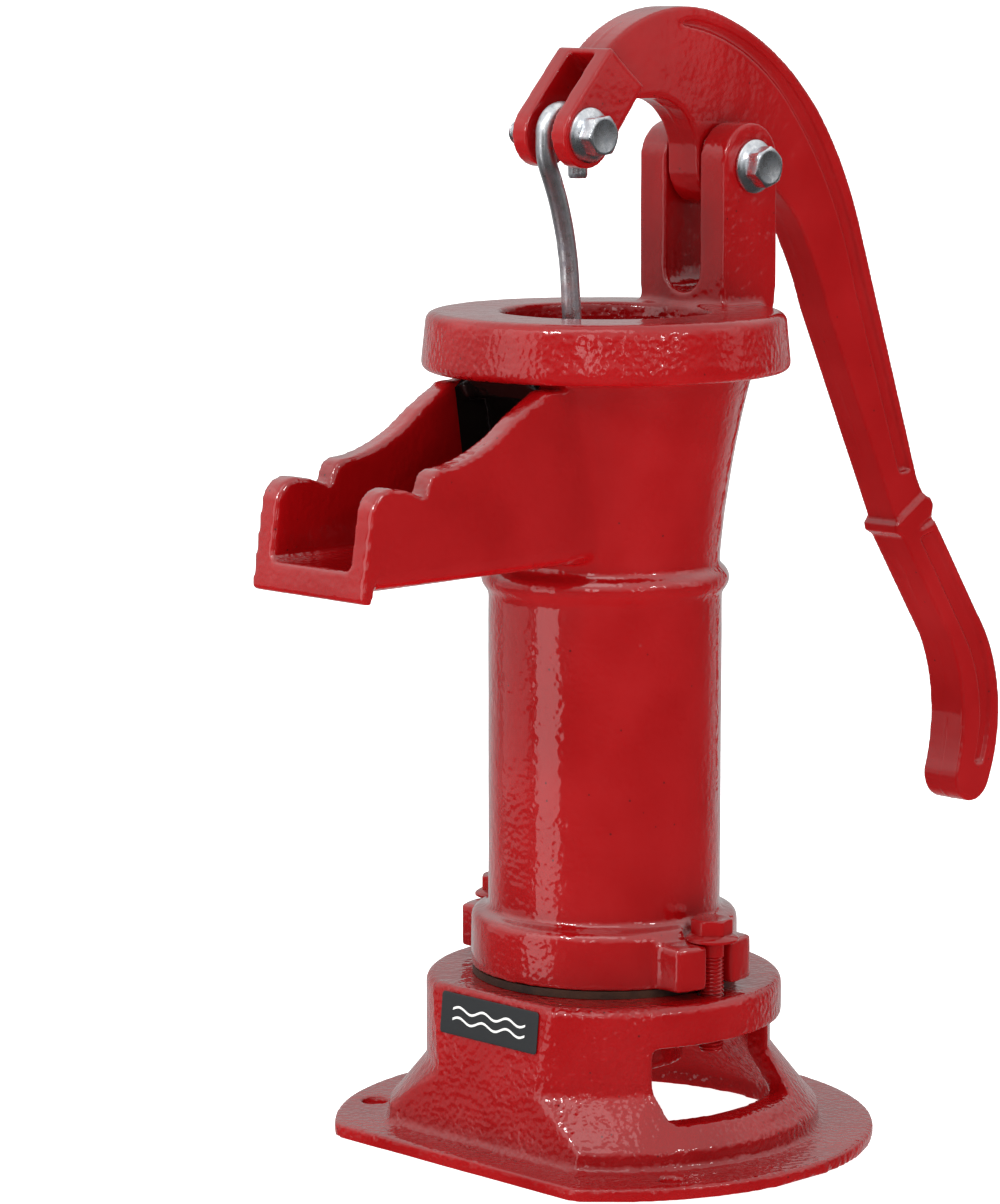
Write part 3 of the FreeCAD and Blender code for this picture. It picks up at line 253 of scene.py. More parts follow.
def enamel(name, pebbles, peel, fair_above=1000, bare_and_shaded_inside=False):
    """Glossy red enamel. Pebbles and peel are the heights of the coarse and fine bumps in millimetres.
    Above the height fair_above, in millimetres, the pebbles are only a fifth as high. The last option
    stops the paint at the bore and the throat, which get no coat and a near-black colour: bare iron with a
    painted shade of the deep, unlit inside."""
    made, tree, shader = material(name, {
        "Roughness": 0.16, "IOR": 1.5, "Specular IOR Level": 0.5,
        "Coat Weight": 0.4, "Coat Roughness": 0.04, "Coat IOR": 1.5})
    place = add_node(tree, "ShaderNodeTexCoord")
    # thin and thick paint: a slow drift between two reds
    drift = noise(tree, place, 34, 3.0)
    colour = add_node(tree, "ShaderNodeMix", {"data_type": "RGBA"}, {
        "Factor": (ramp(tree, drift, "Fac", 0.3, 0.7), "Result"),
        "A": linear("8E070A"), "B": linear("9C090D")})
    # pinholes, where a bubble in the paint left a dark dot
    holes = add_node(tree, "ShaderNodeTexVoronoi", None, {
        "Vector": (place, "Object"), "Scale": 1.0 / (9.0 * MM), "Randomness": 1.0})
    dots = ramp(tree, holes, "Distance", 0.035, 0.06)
    dotted = add_node(tree, "ShaderNodeMix", {"data_type": "RGBA"}, {
        "Factor": (dots, "Result"), "A": linear("5A0A0D"), "B": (colour, "Result")})
    tree.links.new(dotted.outputs["Result"], shader.inputs["Base Color"])
    # painted shade: the bore and the throat get a near-black colour for bare iron in deep shade, darker than
    # the bare iron, and no coat
    if bare_and_shaded_inside:
        paint = paint_outside_shade_inside(tree, place)
        bare = add_node(tree, "ShaderNodeMix", {"data_type": "RGBA"}, {
            "Factor": (paint, "Value"), "A": linear("160F0E"), "B": (dotted, "Result")})
        tree.links.new(bare.outputs["Result"], shader.inputs["Base Color"])
        tree.links.new(paint.outputs["Value"], shader.inputs["Coat Weight"])
    # the sand's pebbles come and go across a casting
    sand = noise(tree, place, 2.6, 1.5, 0.45)
    worms = add_node(tree, "ShaderNodeTexVoronoi", {"feature": "SMOOTH_F1"}, {
        "Vector": (place, "Object"), "Scale": 1.0 / (2.4 * MM), "Smoothness": 0.6, "Randomness": 0.9})
    patches = ramp(tree, noise(tree, place, 30, 1.0), "Fac", 0.38, 0.62, 0.35, 1.0)
    grain = add_node(tree, "ShaderNodeMath", {"operation": "ADD"}, {0: (sand, "Fac"), 1: (worms, "Distance")})
    parts = add_node(tree, "ShaderNodeSeparateXYZ", None, {"Vector": (place, "Object")})
    fair = ramp(tree, parts, "Z", (fair_above - 2) * MM, (fair_above + 2) * MM, 1.0, 0.2)
    share = add_node(tree, "ShaderNodeMath", {"operation": "MULTIPLY"}, {
        0: (fair, "Result"), 1: (patches, "Result")})
    uneven = add_node(tree, "ShaderNodeMath", {"operation": "MULTIPLY"}, {
        0: (grain, "Value"), 1: (share, "Value")})
    coarse = add_node(tree, "ShaderNodeBump", None, {
        "Height": (uneven, "Value"), "Distance": pebbles * MM, "Strength": 1.0})
    skin_grain = noise(tree, place, 5.0, 1.0)
    fine = add_node(tree, "ShaderNodeBump", None, {
        "Height": (skin_grain, "Fac"), "Distance": peel * MM, "Strength": 1.0, "Normal": (coarse, "Normal")})
    tree.links.new(fine.outputs["Normal"], shader.inputs["Normal"])
    tree.links.new(fine.outputs["Normal"], shader.inputs["Coat Normal"])
    rough = ramp(tree, drift, "Fac", 0.3, 0.7, 0.10, 0.18)
    tree.links.new(rough.outputs["Result"], shader.inputs["Roughness"])
    return made


SANDY_ENAMEL = enamel("red_enamel_on_coarse_sand_casting", 0.42, 0.35)
CAP_ENAMEL = enamel("red_enamel_on_cap_casting", 0.42, 0.30, fair_above=317)
BODY_ENAMEL = enamel("red_enamel_on_cylinder_casting", 0.13, 0.20, bare_and_shaded_inside=True)
FAIR_ENAMEL = enamel("red_enamel_on_fair_sand_casting", 0.05, 0.07)
print("enamel ready")

# %% [markdown]
# ## Plated steel, bare iron, brass, leather and film
# Hardware is bought in, so it looks machine-made beside the castings. Bright zinc is a cool, slightly
# brushed metal. The rod is dipped and mottled. Inside sit bare grey iron, turned brass and oiled
# leather, which show only when the cap is off. The label is a matt black film.


# %% Metals
def plated_steel(name, dark, light, low, high, mottle, bump):
    """Plated steel whose tone and roughness wander over a mottle size in millimetres."""
    made, tree, shader = material(name, {"Metallic": 1.0, "Roughness": 0.25})
    place = add_node(tree, "ShaderNodeTexCoord")
    cloud = noise(tree, place, mottle, 4.0, 0.6)
    tone = ramp(tree, cloud, "Fac", 0.35, 0.65)
    colour = add_node(tree, "ShaderNodeMix", {"data_type": "RGBA"}, {
        "Factor": (tone, "Result"), "A": linear(dark), "B": linear(light)})
    tree.links.new(colour.outputs["Result"], shader.inputs["Base Color"])
    rough = ramp(tree, cloud, "Fac", 0.35, 0.65, high, low)
    tree.links.new(rough.outputs["Result"], shader.inputs["Roughness"])
    lumps = add_node(tree, "ShaderNodeBump", None, {
        "Height": (cloud, "Fac"), "Distance": bump * MM, "Strength": 1.0})
    tree.links.new(lumps.outputs["Normal"], shader.inputs["Normal"])
    return made


BRIGHT_ZINC = plated_steel("zinc_plated_steel_bright", "C8CDD4", "F2F4F7", 0.20, 0.36, 2.5, 0.015)
HOT_DIP_ROD = plated_steel("galvanised_steel_drawn_rod", "B9BEC6", "F6F7F9", 0.26, 0.46, 3.5, 0.03)
GREY_IRON = plated_steel("grey_iron_bare_casting", "2B2A29", "4A4845", 0.55, 0.75, 1.4, 0.12)


def turned_brass():
    """Turned brass. The lathe's tool leaves rings 0.8 mm apart round the pump's axis."""
    made, tree, shader = material("brass_turned", {"Metallic": 1.0, "Roughness": 0.24,
                                                  "Base Color": linear("C9A253")})
    place = add_node(tree, "ShaderNodeTexCoord")
    rings = add_node(tree, "ShaderNodeTexWave", {"wave_type": "RINGS", "rings_direction": "Z"}, {
        "Vector": (place, "Object"), "Scale": 0.314 / (0.8 * MM), "Distortion": 0.4})
    marks = add_node(tree, "ShaderNodeBump", None, {
        "Height": (rings, "Fac"), "Distance": 0.02 * MM, "Strength": 1.0})
    tree.links.new(marks.outputs["Normal"], shader.inputs["Normal"])
    return made


BRASS = turned_brass()


# %% Leather and film
def oiled_leather():
    """Vegetable-tanned leather soaked in oil: creased pores about 1.5 mm apart and a dull sheen."""
    made, tree, shader = material("leather_oiled", {"Roughness": 0.5, "IOR": 1.45})
    place = add_node(tree, "ShaderNodeTexCoord")
    cloud = noise(tree, place, 12, 4.0)
    colour = add_node(tree, "ShaderNodeMix", {"data_type": "RGBA"}, {
        "Factor": (ramp(tree, cloud, "Fac", 0.35, 0.65), "Result"),
        "A": linear("24150E"), "B": linear("43291A")})
    tree.links.new(colour.outputs["Result"], shader.inputs["Base Color"])
    pores = add_node(tree, "ShaderNodeTexVoronoi", {"feature": "DISTANCE_TO_EDGE"}, {
        "Vector": (place, "Object"), "Scale": 1.0 / (1.5 * MM)})
    creases = add_node(tree, "ShaderNodeBump", None, {
        "Height": (pores, "Distance"), "Distance": 0.12 * MM, "Strength": 1.0})
    tree.links.new(creases.outputs["Normal"], shader.inputs["Normal"])
    return made


def label_film():
    """Matt black film with two thin white waves printed along it, 4 mm apart."""
    made, tree, shader = material("printed_film_matt_black", {"Roughness": 0.55, "IOR": 1.45})
    place = add_node(tree, "ShaderNodeTexCoord")
    parts = add_node(tree, "ShaderNodeSeparateXYZ", None, {"Vector": (place, "Object")})
    along = add_node(tree, "ShaderNodeMath", {"operation": "MULTIPLY"}, {
        0: (parts, "Y"), 1: 2 * math.pi / (13.0 * MM)})
    wave = add_node(tree, "ShaderNodeMath", {"operation": "SINE"}, {0: (along, "Value")})
    low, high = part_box("name_label")
    middle = (low[2] + high[2]) / 2
    drop = add_node(tree, "ShaderNodeMath", {"operation": "MULTIPLY_ADD"}, {
        0: (wave, "Value"), 1: 1.0 * MM, 2: middle})
    height = add_node(tree, "ShaderNodeMath", {"operation": "SUBTRACT"}, {
        0: (parts, "Z"), 1: (drop, "Value")})
    apart = add_node(tree, "ShaderNodeMath", {"operation": "ABSOLUTE"}, {0: (height, "Value")})
    line = add_node(tree, "ShaderNodeMath", {"operation": "COMPARE"}, {
        0: (apart, "Value"), 1: 2.0 * MM, 2: 0.45 * MM})
    reach = add_node(tree, "ShaderNodeMath", {"operation": "ABSOLUTE"}, {0: (parts, "Y")})
    inside = add_node(tree, "ShaderNodeMath", {"operation": "LESS_THAN"}, {
        0: (reach, "Value"), 1: 19.5 * MM})
    printed = add_node(tree, "ShaderNodeMath", {"operation": "MULTIPLY"}, {
        0: (line, "Value"), 1: (inside, "Value")})
    colour = add_node(tree, "ShaderNodeMix", {"data_type": "RGBA"}, {
        "Factor": (printed, "Value"), "A": linear("26282A"), "B": linear("E9E9E6")})
    tree.links.new(colour.outputs["Result"], shader.inputs["Base Color"])
    return made


def pale_floor():
    """White acrylic sheet lit from below, as on a product table, with a faint mottle in its matt skin."""
    made, tree, shader = material("white_acrylic_lit_table", {
        "Roughness": 0.8, "Emission Color": (1, 1, 1, 1), "Emission Strength": 1.0})
    place = add_node(tree, "ShaderNodeTexCoord")
    cloud = noise(tree, place, 250, 3.0)
    colour = add_node(tree, "ShaderNodeMix", {"data_type": "RGBA"}, {
        "Factor": (cloud, "Fac"), "A": linear("EFEFEF"), "B": linear("F4F4F4")})
    tree.links.new(colour.outputs["Result"], shader.inputs["Base Color"])
    return made


LEATHER = oiled_leather()
FILM = label_film()
floor_mesh.materials.append(pale_floor())
print("materials ready:", len(bpy.data.materials))

# %% [markdown]
# ## The castings
# A sand casting has no sharp edges: outside corners come out rounded by a millimetre or two, and
# inside corners fill with a fillet so that the iron can flow. Each casting starts as a copy of its
# CAD piece, is wrapped in an even skin of small squares, and is then relaxed. Relaxing rounds both
# kinds of corner at once, and more passes where a casting has a large fillet make that fillet. Last,
# numpy noise moves the skin by a tenth of a millimetre, as a rammed sand mould does.


# %% Smooth noise on a lattice
def lumps(points, size, seed):
    """Smooth noise from -1 to 1. Each point blends the random numbers at the eight corners of its
    lattice cell, with weights that follow 3t^2 - 2t^3 along each axis."""
    cell = points / size
    corner = np.floor(cell).astype(np.int64)
    share = cell - corner
    share = share * share * (3 - 2 * share)
    total = np.zeros(len(points))
    for step in itertools.product((0, 1), repeat=3):
        offset = np.array(step)
        weight = np.prod(np.where(offset == 1, share, 1 - share), axis=1)
        key = (corner + offset) @ np.array((73856093, 19349663, 83492791)) + seed * 9176
        key = (key ^ (key >> 13)) * 1274126177
        key = (key ^ (key >> 16)) & 0xFFFFFF
        total += weight * (key / 0x7FFFFF - 1)
    return total


def vertices_of(mesh):
    """All vertex places of a mesh as an array in millimetres."""
    flat = np.empty(len(mesh.vertices) * 3)
    mesh.vertices.foreach_get("co", flat)
    return flat.reshape(-1, 3) / MM


def normals_of(mesh):
    """All vertex normals of a mesh as an array."""
    flat = np.empty(len(mesh.vertices) * 3)
    mesh.vertex_normals.foreach_get("vector", flat)
    return flat.reshape(-1, 3)


def bump_near(value, middle, width):
    """1 at the middle value, falling smoothly to 0 at a width to either side."""
    return np.clip(1 - np.abs(value - middle) / width, 0, 1) ** 0.5


# %% From CAD solid to casting
TRIANGLE_LIMIT = 185_000
FILL_PASSES = 24


def applied(piece):
    """Replaces a piece's mesh by what its modifiers make of it."""
    depsgraph = bpy.context.evaluated_depsgraph_get()
    mesh = bpy.data.meshes.new_from_object(piece.evaluated_get(depsgraph))
    piece.modifiers.clear()
    piece.data = mesh
    return mesh


def casting(node, name, enamel_finish, body, voxel, passes, fillets=None, seam=None, uneven=1.0):
    """Turns a CAD solid into a casting. Voxel is the skin's square in millimetres, and passes is how
    often it is relaxed. Fillets gives each point's share of a second, stronger relaxing, and seam the
    height of a parting line at each point. Uneven is the share of the sand's usual unevenness."""
    source = frame["nodes"][node]
    mesh = source.data.copy()
    work = bmesh.new()
    work.from_mesh(mesh)
    bmesh.ops.remove_doubles(work, verts=work.verts, dist=0.001 * MM)
    work.to_mesh(mesh)
    work.free()
    piece = bpy.data.objects.new(name, mesh)
    scene.collection.objects.link(piece)
    wrap = piece.modifiers.new("skin", "REMESH")
    wrap.mode = "VOXEL"
    wrap.voxel_size = voxel * MM
    relax = piece.modifiers.new("rounded", "SMOOTH")
    relax.factor = 0.5
    relax.iterations = passes
    mesh = applied(piece)
    if fillets is not None:
        share = fillets(vertices_of(mesh))
        group = piece.vertex_groups.new(name="fillets")
        for step in range(1, 11):
            members = np.flatnonzero(np.round(share * 10) == step)
            group.add([int(index) for index in members], step / 10, "REPLACE")
        fill = piece.modifiers.new("fillets", "SMOOTH")
        fill.factor = 0.5
        fill.iterations = FILL_PASSES
        fill.vertex_group = "fillets"
        mesh = applied(piece)
    triangles = 2 * len(mesh.polygons)
    if triangles > TRIANGLE_LIMIT:
        thin = piece.modifiers.new("thinned", "DECIMATE")
        thin.ratio = TRIANGLE_LIMIT / triangles
        mesh = applied(piece)
    points = vertices_of(mesh)
    normals = normals_of(mesh)
    relief = 0.10 * lumps(points, 24, 1) + 0.05 * lumps(points, 7, 2) + 0.03 * lumps(points, 3.1, 3)
    relief = (relief - 0.12) * uneven
    if seam is not None:
        relief += seam(points, normals)
    points += normals * relief[:, None]
    low, high = box_mm(node)
    points = np.clip(points, low, high)
    mesh.vertices.foreach_set("co", (points * MM).ravel())
    mesh.polygons.foreach_set("use_smooth", np.ones(len(mesh.polygons), dtype=bool))
    mesh.materials.clear()
    mesh.materials.append(enamel_finish)
    mesh.update()
    piece.vertex_groups.clear()
    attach(piece, body)
    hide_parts(node)
    print(name, len(mesh.polygons), "faces")


# %% Pedestal
casting("base_pedestal", "pedestal_casting", SANDY_ENAMEL, "pump_frame", 1.25, 6)

# %% [markdown]
# The cylinder, its flared mouth and the spout are one casting. The spout's flat sides run into the
# round flare through a wide fillet, and the fill is kept off the trough's inner walls.

# %% Cylinder and spout
SPOUT_SIDE = 30.0
FLARE_LOW = 224.0
FLARE_HIGH = 294.0


def body_fillets(points):
    """The strip where the spout's sides meet the flare, 30 mm from the axis plane and 47 mm in front,
    and the bolt lugs, whose corners were rounded by hand on the pattern."""
    x, y, z = points.T
    across = bump_near(np.abs(y), SPOUT_SIDE + 2, 7)
    along = bump_near(x, -41, 14)
    up = np.clip((z - FLARE_LOW) / 6, 0, 1) * np.clip((FLARE_HIGH - z) / 6, 0, 1)
    lugs = np.clip((np.abs(y) - 46) / 4, 0, 1) * np.clip((92 - z) / 4, 0, 1) * 0.5
    return np.maximum(across * along * up, lugs)


casting("pump_body", "cylinder_and_spout_casting", BODY_ENAMEL, "pump_frame", 1.2, 6, fillets=body_fillets)

# %% [markdown]
# The cap carries two ears, and their feet spread into its top through a small fillet.

# %% Cap
CAP_TOP = 320.5


def ear_fillets(points):
    """A band 5 mm high round the ears' feet."""
    x, y, z = points.T
    return bump_near(z, CAP_TOP + 1.5, 4.5) * np.clip((x - 34) / 6, 0, 1) * (np.abs(y) > 7)


casting("top_cap", "cap_casting", CAP_ENAMEL, "cap", 0.9, 6, fillets=ear_fillets)

# %% [markdown]
# The handle was moulded on its side, so a thin parting line runs round its edge, half way through
# its thickness, filed down but still there.


# %% Handle
def parting_line(points, normals):
    """A ridge 0.25 mm high and 1.6 mm wide on faces that look away from Y, broken up along its length."""
    ridge = np.clip(1 - np.abs(points[:, 1] + 0.6 * lumps(points, 18, 8)) / 0.8, 0, 1)
    edge_face = np.clip(1 - 2.5 * np.abs(normals[:, 1]), 0, 1)
    return 0.28 * ridge * edge_face * np.clip(lumps(points, 12, 9) + 0.75, 0, 1)


def handle_fillets(points):
    """A spot 10 mm wide where the fork's block meets the web."""
    x, y, z = points.T
    block_end = np.hypot(x - CLEVIS[0] - 21, z - CLEVIS[2] - 25)
    return bump_near(block_end, 0, 10) * 0.4


casting("handle", "handle_casting", FAIR_ENAMEL, "lever", 0.85, 3,
        fillets=handle_fillets, seam=parting_line, uneven=0.4)

# %% [markdown]
# ## Bolts and nuts
# Every fastener is one skin of rings round an axis. Each ring has a radius that depends on the angle
# round it and on its height, so the same function makes a hexagon, a round flange and a thread. A
# real bolt's head is turned to a cone after it is pressed, and cutting the hexagon with that cone
# gives the curved scallops on its corners.


# %% Skins of rings
def skin(name, rings, finish, looped=False, sharp=38):
    """Joins rings of points, (rings, points, 3) in millimetres, into a closed skin. The ends are closed
    to a middle point, or, if looped, the last ring joins the first."""
    count, around = rings.shape[:2]
    points = rings.reshape(-1, 3)
    upper = count if looped else count - 1
    row = np.arange(upper)[:, None]
    column = np.arange(around)[None, :]
    after = (column + 1) % around
    above = (row + 1) % count
    quads = np.stack([row * around + column, row * around + after,
                      above * around + after, above * around + column], axis=-1).reshape(-1, 4)
    faces = quads.tolist()
    if not looped:
        ends = np.stack([rings[0].mean(axis=0), rings[-1].mean(axis=0)])
        points = np.concatenate([points, ends])
        first, last = count * around, count * around + 1
        top = (count - 1) * around
        faces += [(first, (i + 1) % around, i) for i in range(around)]
        faces += [(last, top + i, top + (i + 1) % around) for i in range(around)]
    mesh = bpy.data.meshes.new(name)
    mesh.from_pydata((points * MM).tolist(), [], faces)
    work = bmesh.new()
    work.from_mesh(mesh)
    bmesh.ops.recalc_face_normals(work, faces=work.faces)
    work.to_mesh(mesh)
    work.free()
    mesh.polygons.foreach_set("use_smooth", np.ones(len(mesh.polygons), dtype=bool))
    mesh.set_sharp_from_angle(angle=math.radians(sharp))
    mesh.materials.append(finish)
    piece = bpy.data.objects.new(name, mesh)
    scene.collection.objects.link(piece)
    return piece


def along_axis(heights, radii, seat, axis):
    """Rings round an axis through the seat. Heights is one value a ring, radii is (rings, angles)."""
    axis = np.array(axis, dtype=float)
    side = np.array((1.0, 0, 0)) if abs(axis[0]) < 0.5 else np.array((0, 0, 1.0))
    other = np.cross(axis, side)
    turn = np.linspace(0, 2 * math.pi, radii.shape[1], endpoint=False)
    round_trip = np.cos(turn)[:, None] * side + np.sin(turn)[:, None] * other
    return np.array(seat) + heights[:, None, None] * axis + radii[:, :, None] * round_trip


def hexagon_radius(flats, angles, turn=0.0):
    """The distance from a hexagon's middle to its side at each angle: half the flats over the cosine of
    the angle to the nearest flat's middle. The corners are eased by a quarter of a millimetre."""
    sixth = math.pi / 3
    off = np.mod(angles + turn + sixth / 2, sixth) - sixth / 2
    return np.minimum(flats / 2 / np.cos(off), flats / math.sqrt(3) - 0.25)


def threaded(heights, angles, radius, pitch):
    """A thread's radius: a triangle wave that climbs one pitch a turn, 0.54 of the pitch deep."""
    climb = heights[:, None] / pitch - angles[None, :] / (2 * math.pi)
    wave = np.abs(np.mod(climb, 1.0) * 2 - 1)
    depth = 0.54 * pitch
    return radius - depth * (1 - np.clip(wave * 1.25 - 0.12, 0, 1))


# %% Flange bolts and nuts, in millimetres
ANGLES = np.linspace(0, 2 * math.pi, 96, endpoint=False)
SHANK = 4.75
FLATS = 14.2
HEAD_HEIGHT = 8.5
FLANGE = 10.3
PITCH = 1.5
THREAD_END = 3.6
HEAD_STEPS = (3.0, 4.5, 6.0, 6.8, 7.2, 7.5, 7.8, 8.1, 8.35, HEAD_HEIGHT)
END_CONE = 1.9


def bolt_rings(length, thread_from, turn):
    """A flange bolt that seats on height 0 and points down: thread, shank, flange, hexagon, chamfer."""
    thread_heights = np.arange(-length, -thread_from, PITCH / 8)
    thread = threaded(thread_heights, ANGLES, SHANK, PITCH)
    lead = np.clip((thread_heights + length) / 1.2, 0, 1)[:, None]
    thread = np.minimum(thread, SHANK - 1.0 + lead)
    round_part = ((-thread_from, SHANK), (-0.01, SHANK), (0.0, FLANGE - 0.25), (0.25, FLANGE), (0.95, FLANGE),
                  (1.35, FLANGE - 0.35), (1.9, 9.2), (2.7, 7.6))
    heights = [-length, *thread_heights, *(height for height, _ in round_part), 2.75]
    rows = [np.full(len(ANGLES), THREAD_END), *thread]
    rows += [np.full(len(ANGLES), radius) for _, radius in round_part]
    hexagon = hexagon_radius(FLATS, ANGLES, turn)
    rows.append(np.minimum(hexagon, 7.9))
    for height in HEAD_STEPS:
        cone = FLATS / 2 - 0.35 + (HEAD_HEIGHT - height) * END_CONE
        heights.append(height)
        rows.append(np.minimum(hexagon, cone))
    heights.append(HEAD_HEIGHT)
    rows.append(np.full(len(ANGLES), FLATS / 2 - 1.1))
    heights.append(HEAD_HEIGHT - 0.12)
    rows.append(np.full(len(ANGLES), FLATS / 2 - 1.7))
    return np.array(heights), np.array(rows)


def bolt(name, node, seat, axis, length, thread_from, finish, body, turn):
    """A finished bolt that rides on a body and stands for its CAD node."""
    heights, radii = bolt_rings(length, thread_from, turn)
    piece = skin(name, along_axis(heights, radii, seat, axis), finish)
    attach(piece, body)
    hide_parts(node)


def nut(name, node, seat, axis, flats, height, hole, body):
    """A plain hexagon nut with both ends turned to a cone and a threaded hole."""
    near_end = np.array((0.0, 0.15, 0.4, 0.8, 1.3))
    steps = np.concatenate([near_end, (height - near_end)[::-1]])
    hexagon = hexagon_radius(flats, ANGLES, math.pi / 6)
    from_end = np.minimum(steps, height - steps)
    outside = np.minimum(hexagon[None, :], (flats / 2 - 0.3 + from_end * END_CONE)[:, None])
    inner_heights = np.arange(height, -0.01, -PITCH / 8)
    inside = hole + (SHANK - threaded(inner_heights, ANGLES, SHANK, PITCH)) * 0.5
    heights = np.concatenate([steps, inner_heights])
    radii = np.concatenate([outside, inside])
    piece = skin(name, along_axis(heights, radii, seat, axis), BRIGHT_ZINC, looped=True)
    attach(piece, body)
    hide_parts(node)


def pivot(name, place, outside, nut_height, body, turn):
    """The bolt and nut of a pivot across the pump. The bolt's head is on the -Y side."""
    low, high = box_mm(f"{name}_bolt")
    length = high[1] + outside
    seat = (place[0], -outside, place[2])
    bolt(f"{name}_bolt_threaded", f"{name}_bolt", seat, (0, -1, 0), length, outside * 2 - 8,
         BRIGHT_ZINC, body, turn)
    nut_seat = (place[0], outside, place[2])
    nut(f"{name}_nut_threaded", f"{name}_nut", nut_seat, (0, 1, 0), FLATS, nut_height, SHANK - 0.1, body)


NUT_HEIGHT = 5.0
EAR_OUTSIDE = 22.7
FORK_OUTSIDE = 14.2
pivot("fulcrum", FULCRUM, EAR_OUTSIDE, NUT_HEIGHT, "cap", 0.16)
pivot("clevis", CLEVIS, FORK_OUTSIDE, NUT_HEIGHT, "lever", 0.42)

# %% [markdown]
# The two bolts that clamp the cylinder to the pedestal went in before the pump was painted, so they
# are as red as the castings, with paint in their threads.

# %% Painted bolts
LUG_CIRCLE = 57.0
low, high = box_mm("flange_bolts")
LUG_TOP = high[2] - HEAD_HEIGHT
bolt_length = LUG_TOP - low[2]
painted = []
for side, turn in ((-1, 0.3), (1, 0.9)):
    heights, radii = bolt_rings(bolt_length, 6, turn)
    rings = along_axis(heights, radii, (0, LUG_CIRCLE * side, LUG_TOP), (0, 0, 1))
    painted.append(skin(f"painted_bolt_{side + 1}", rings, FAIR_ENAMEL))
for piece in painted:
    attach(piece, "pump_frame")
    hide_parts("flange_bolts")
print("bolts and nuts made")

# %% [markdown]
# ## The rod
# The rod is one length of 7.5 mm steel, bent cold into a hook that hangs on the clevis bolt. Its
# path is runs and arcs, and the skin is a circle carried along it. Dipping leaves the skin faintly
# lumpy. The tail is sheared off flat and the lower end is threaded for its two nuts.

# %% Rod
ROD = 3.75
HOOK = SHANK + 0.2 + ROD
TAIL = 16.7
SHANK_DROP = 3.0
NECK_BEND = 25.0
LONG_BEND = 120.0
ROD_END = 187.0
THREAD_TOP = 221
ROD_PITCH = 1.25
HOOK_SWING = math.radians(25)
ROD_LEAN = math.radians(5.1)


def arc_points(centre, radius, start, end, step=1.0):
    """Points on an arc in the XZ plane, about a step apart, from one angle to the other."""
    count = max(int(abs(end - start) * radius / step), 4)
    angles = np.linspace(start, end, count)
    return np.stack([centre[0] + radius * np.cos(angles), centre[1] + radius * np.sin(angles)], axis=1)


def run_points(here, there, step=0.25):
    """Points on a straight run, a step apart, without its ends."""
    here, there = np.array(here), np.array(there)
    count = max(int(np.linalg.norm(there - here) / step), 2)
    share = np.linspace(0, 1, count + 1)[1:-1, None]
    return here * (1 - share) + there * share


def rod_path():
    """The rod's middle line: tail, hook, shank, the bend below the hook, the long bend, the straight."""
    x, z = CLEVIS[0], CLEVIS[2]
    hook = arc_points((x, z), HOOK, 0, math.pi)
    tail = run_points((x + HOOK, z - TAIL), hook[0], 1.0)
    neck_start = np.array((x - HOOK, z - SHANK_DROP))
    neck = arc_points(neck_start + (NECK_BEND, 0), NECK_BEND, math.pi, math.pi + HOOK_SWING)
    centre = neck[-1] - LONG_BEND * np.array((math.cos(HOOK_SWING), math.sin(HOOK_SWING)))
    bend = arc_points(centre, LONG_BEND, HOOK_SWING, ROD_LEAN)
    down = np.array((math.sin(ROD_LEAN), -math.cos(ROD_LEAN)))
    lowest = bend[-1] + down * (bend[-1][1] - ROD_END) / math.cos(ROD_LEAN)
    straight = run_points(bend[-1], lowest)
    first = np.array([(x + HOOK, z - TAIL)])
    return np.concatenate([first, tail, hook, neck, bend[1:], straight, lowest[None, :]])


def rod_skin():
    """Rings square to the path. Each ring's radius is the rod's, less lumps of a twentieth, and a
    thread of 1.25 mm pitch on the lowest 34 mm."""
    path = rod_path()
    steps = np.gradient(path, axis=0)
    steps /= np.linalg.norm(steps, axis=1)[:, None]
    angles = np.linspace(0, 2 * math.pi, 40, endpoint=False)
    outward = np.stack([-steps[:, 1], np.zeros(len(path)), steps[:, 0]], axis=1)
    middle = np.stack([path[:, 0], np.zeros(len(path)), path[:, 1]], axis=1)
    across = np.array((0, 1.0, 0))
    circle = outward[:, None, :] * np.cos(angles)[:, None] + across * np.sin(angles)[:, None]
    surface = middle[:, None, :] + ROD * circle
    dents = 0.06 * lumps(surface.reshape(-1, 3), 4.0, 5) + 0.05 * lumps(surface.reshape(-1, 3), 11.0, 6)
    radii = ROD - 0.1 + dents.reshape(len(path), -1)
    travelled = np.concatenate([[0], np.cumsum(np.linalg.norm(np.diff(path, axis=0), axis=1))])
    thread = threaded(travelled, angles, ROD, ROD_PITCH)
    radii = np.where(path[:, 1:2] < THREAD_TOP, thread, radii)
    ends = np.minimum(np.clip(travelled / 0.5, 0, 1), np.clip((travelled[-1] - travelled) / 0.5, 0, 1))
    radii = radii - 0.5 * (1 - ends)[:, None]
    return middle[:, None, :] + radii[:, :, None] * circle


rod = skin("rod_with_hook", rod_skin(), HOT_DIP_ROD, sharp=50)
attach(rod, "rod")
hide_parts("plunger_rod")
print("rod", len(rod.data.polygons), "faces")

# %% [markdown]
# ## The label
# A small plate of matt black film sits on the pedestal's sloping front face. It carries no name: two
# plain waves say water. The plate is a rounded rectangle with a soft rim.

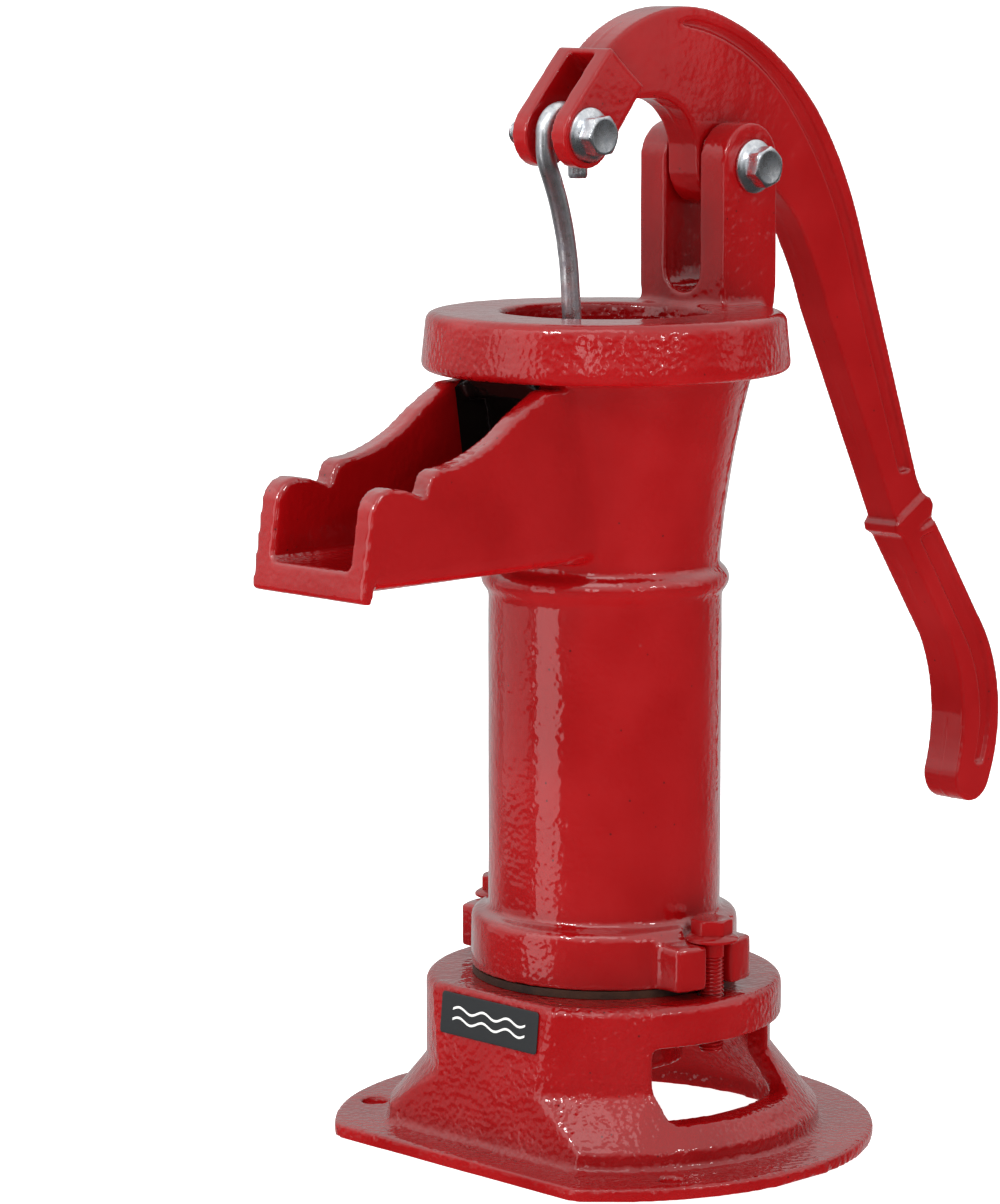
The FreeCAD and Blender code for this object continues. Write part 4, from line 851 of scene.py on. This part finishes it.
# %% Label
FACE_SLOPE = 0.1
low, high = box_mm("name_label")
tilt = math.atan(FACE_SLOPE)
up = np.array((math.sin(tilt), 0, math.cos(tilt)))
out = np.array((-math.cos(tilt), 0, math.sin(tilt)))
label_width = high[1] - low[1]
label_height = (high[2] - low[2] - 0.6 * math.sin(tilt)) / math.cos(tilt)
label_middle = np.array(((low[0] + high[0]) / 2, 0, (low[2] + high[2]) / 2))


def rounded_outline(width, height, corner, angles):
    """A rounded rectangle about its middle: a small rectangle's corner plus an arc that turns with the
    angle."""
    x = (width / 2 - corner) * np.sign(np.cos(angles)) + corner * np.cos(angles)
    y = (height / 2 - corner) * np.sign(np.sin(angles)) + corner * np.sin(angles)
    return x, y


label_angles = np.linspace(0, 2 * math.pi, 64, endpoint=False) + 0.01
label_rings = []
LABEL_RIM = ((1.2, -0.25), (0.3, -0.25), (0.0, -0.15), (0.0, 0.1), (0.12, 0.2), (0.35, 0.24), (1.2, 0.25))
for inset, lift in LABEL_RIM:
    x, y = rounded_outline(label_width - inset * 2, label_height - inset * 2, 1.3, label_angles)
    label_rings.append(label_middle + x[:, None] * np.array((0, 1.0, 0)) + y[:, None] * up + lift * out)
label = skin("water_label", np.array(label_rings), FILM)
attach(label, "pump_frame")
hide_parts("name_label")

# %% [markdown]
# ## Hidden pieces
# The valve and the plunger keep their CAD shapes, which are turned and cut parts with crisp edges.
# They only need the finish of what they are made of.

# %% Finishes for the inner pieces
INNER_FINISHES = {
    "valve_leather": LEATHER,
    "valve_flap": LEATHER,
    "cup_leather": LEATHER,
    "poppet_facing": LEATHER,
    "flap_weight": GREY_IRON,
    "plunger_cage": GREY_IRON,
    "plunger_follower": GREY_IRON,
    "flap_screw": BRASS,
    "flap_nut": BRASS,
    "poppet_valve": BRASS,
    "rod_top_nut": BRIGHT_ZINC,
    "rod_end_nut": BRIGHT_ZINC,
    "cap_set_screws": BRIGHT_ZINC,
}
for node, finish in INNER_FINISHES.items():
    data = frame["nodes"][node].data
    data.materials.clear()
    data.materials.append(finish)
print("inner pieces:", len(INNER_FINISHES))
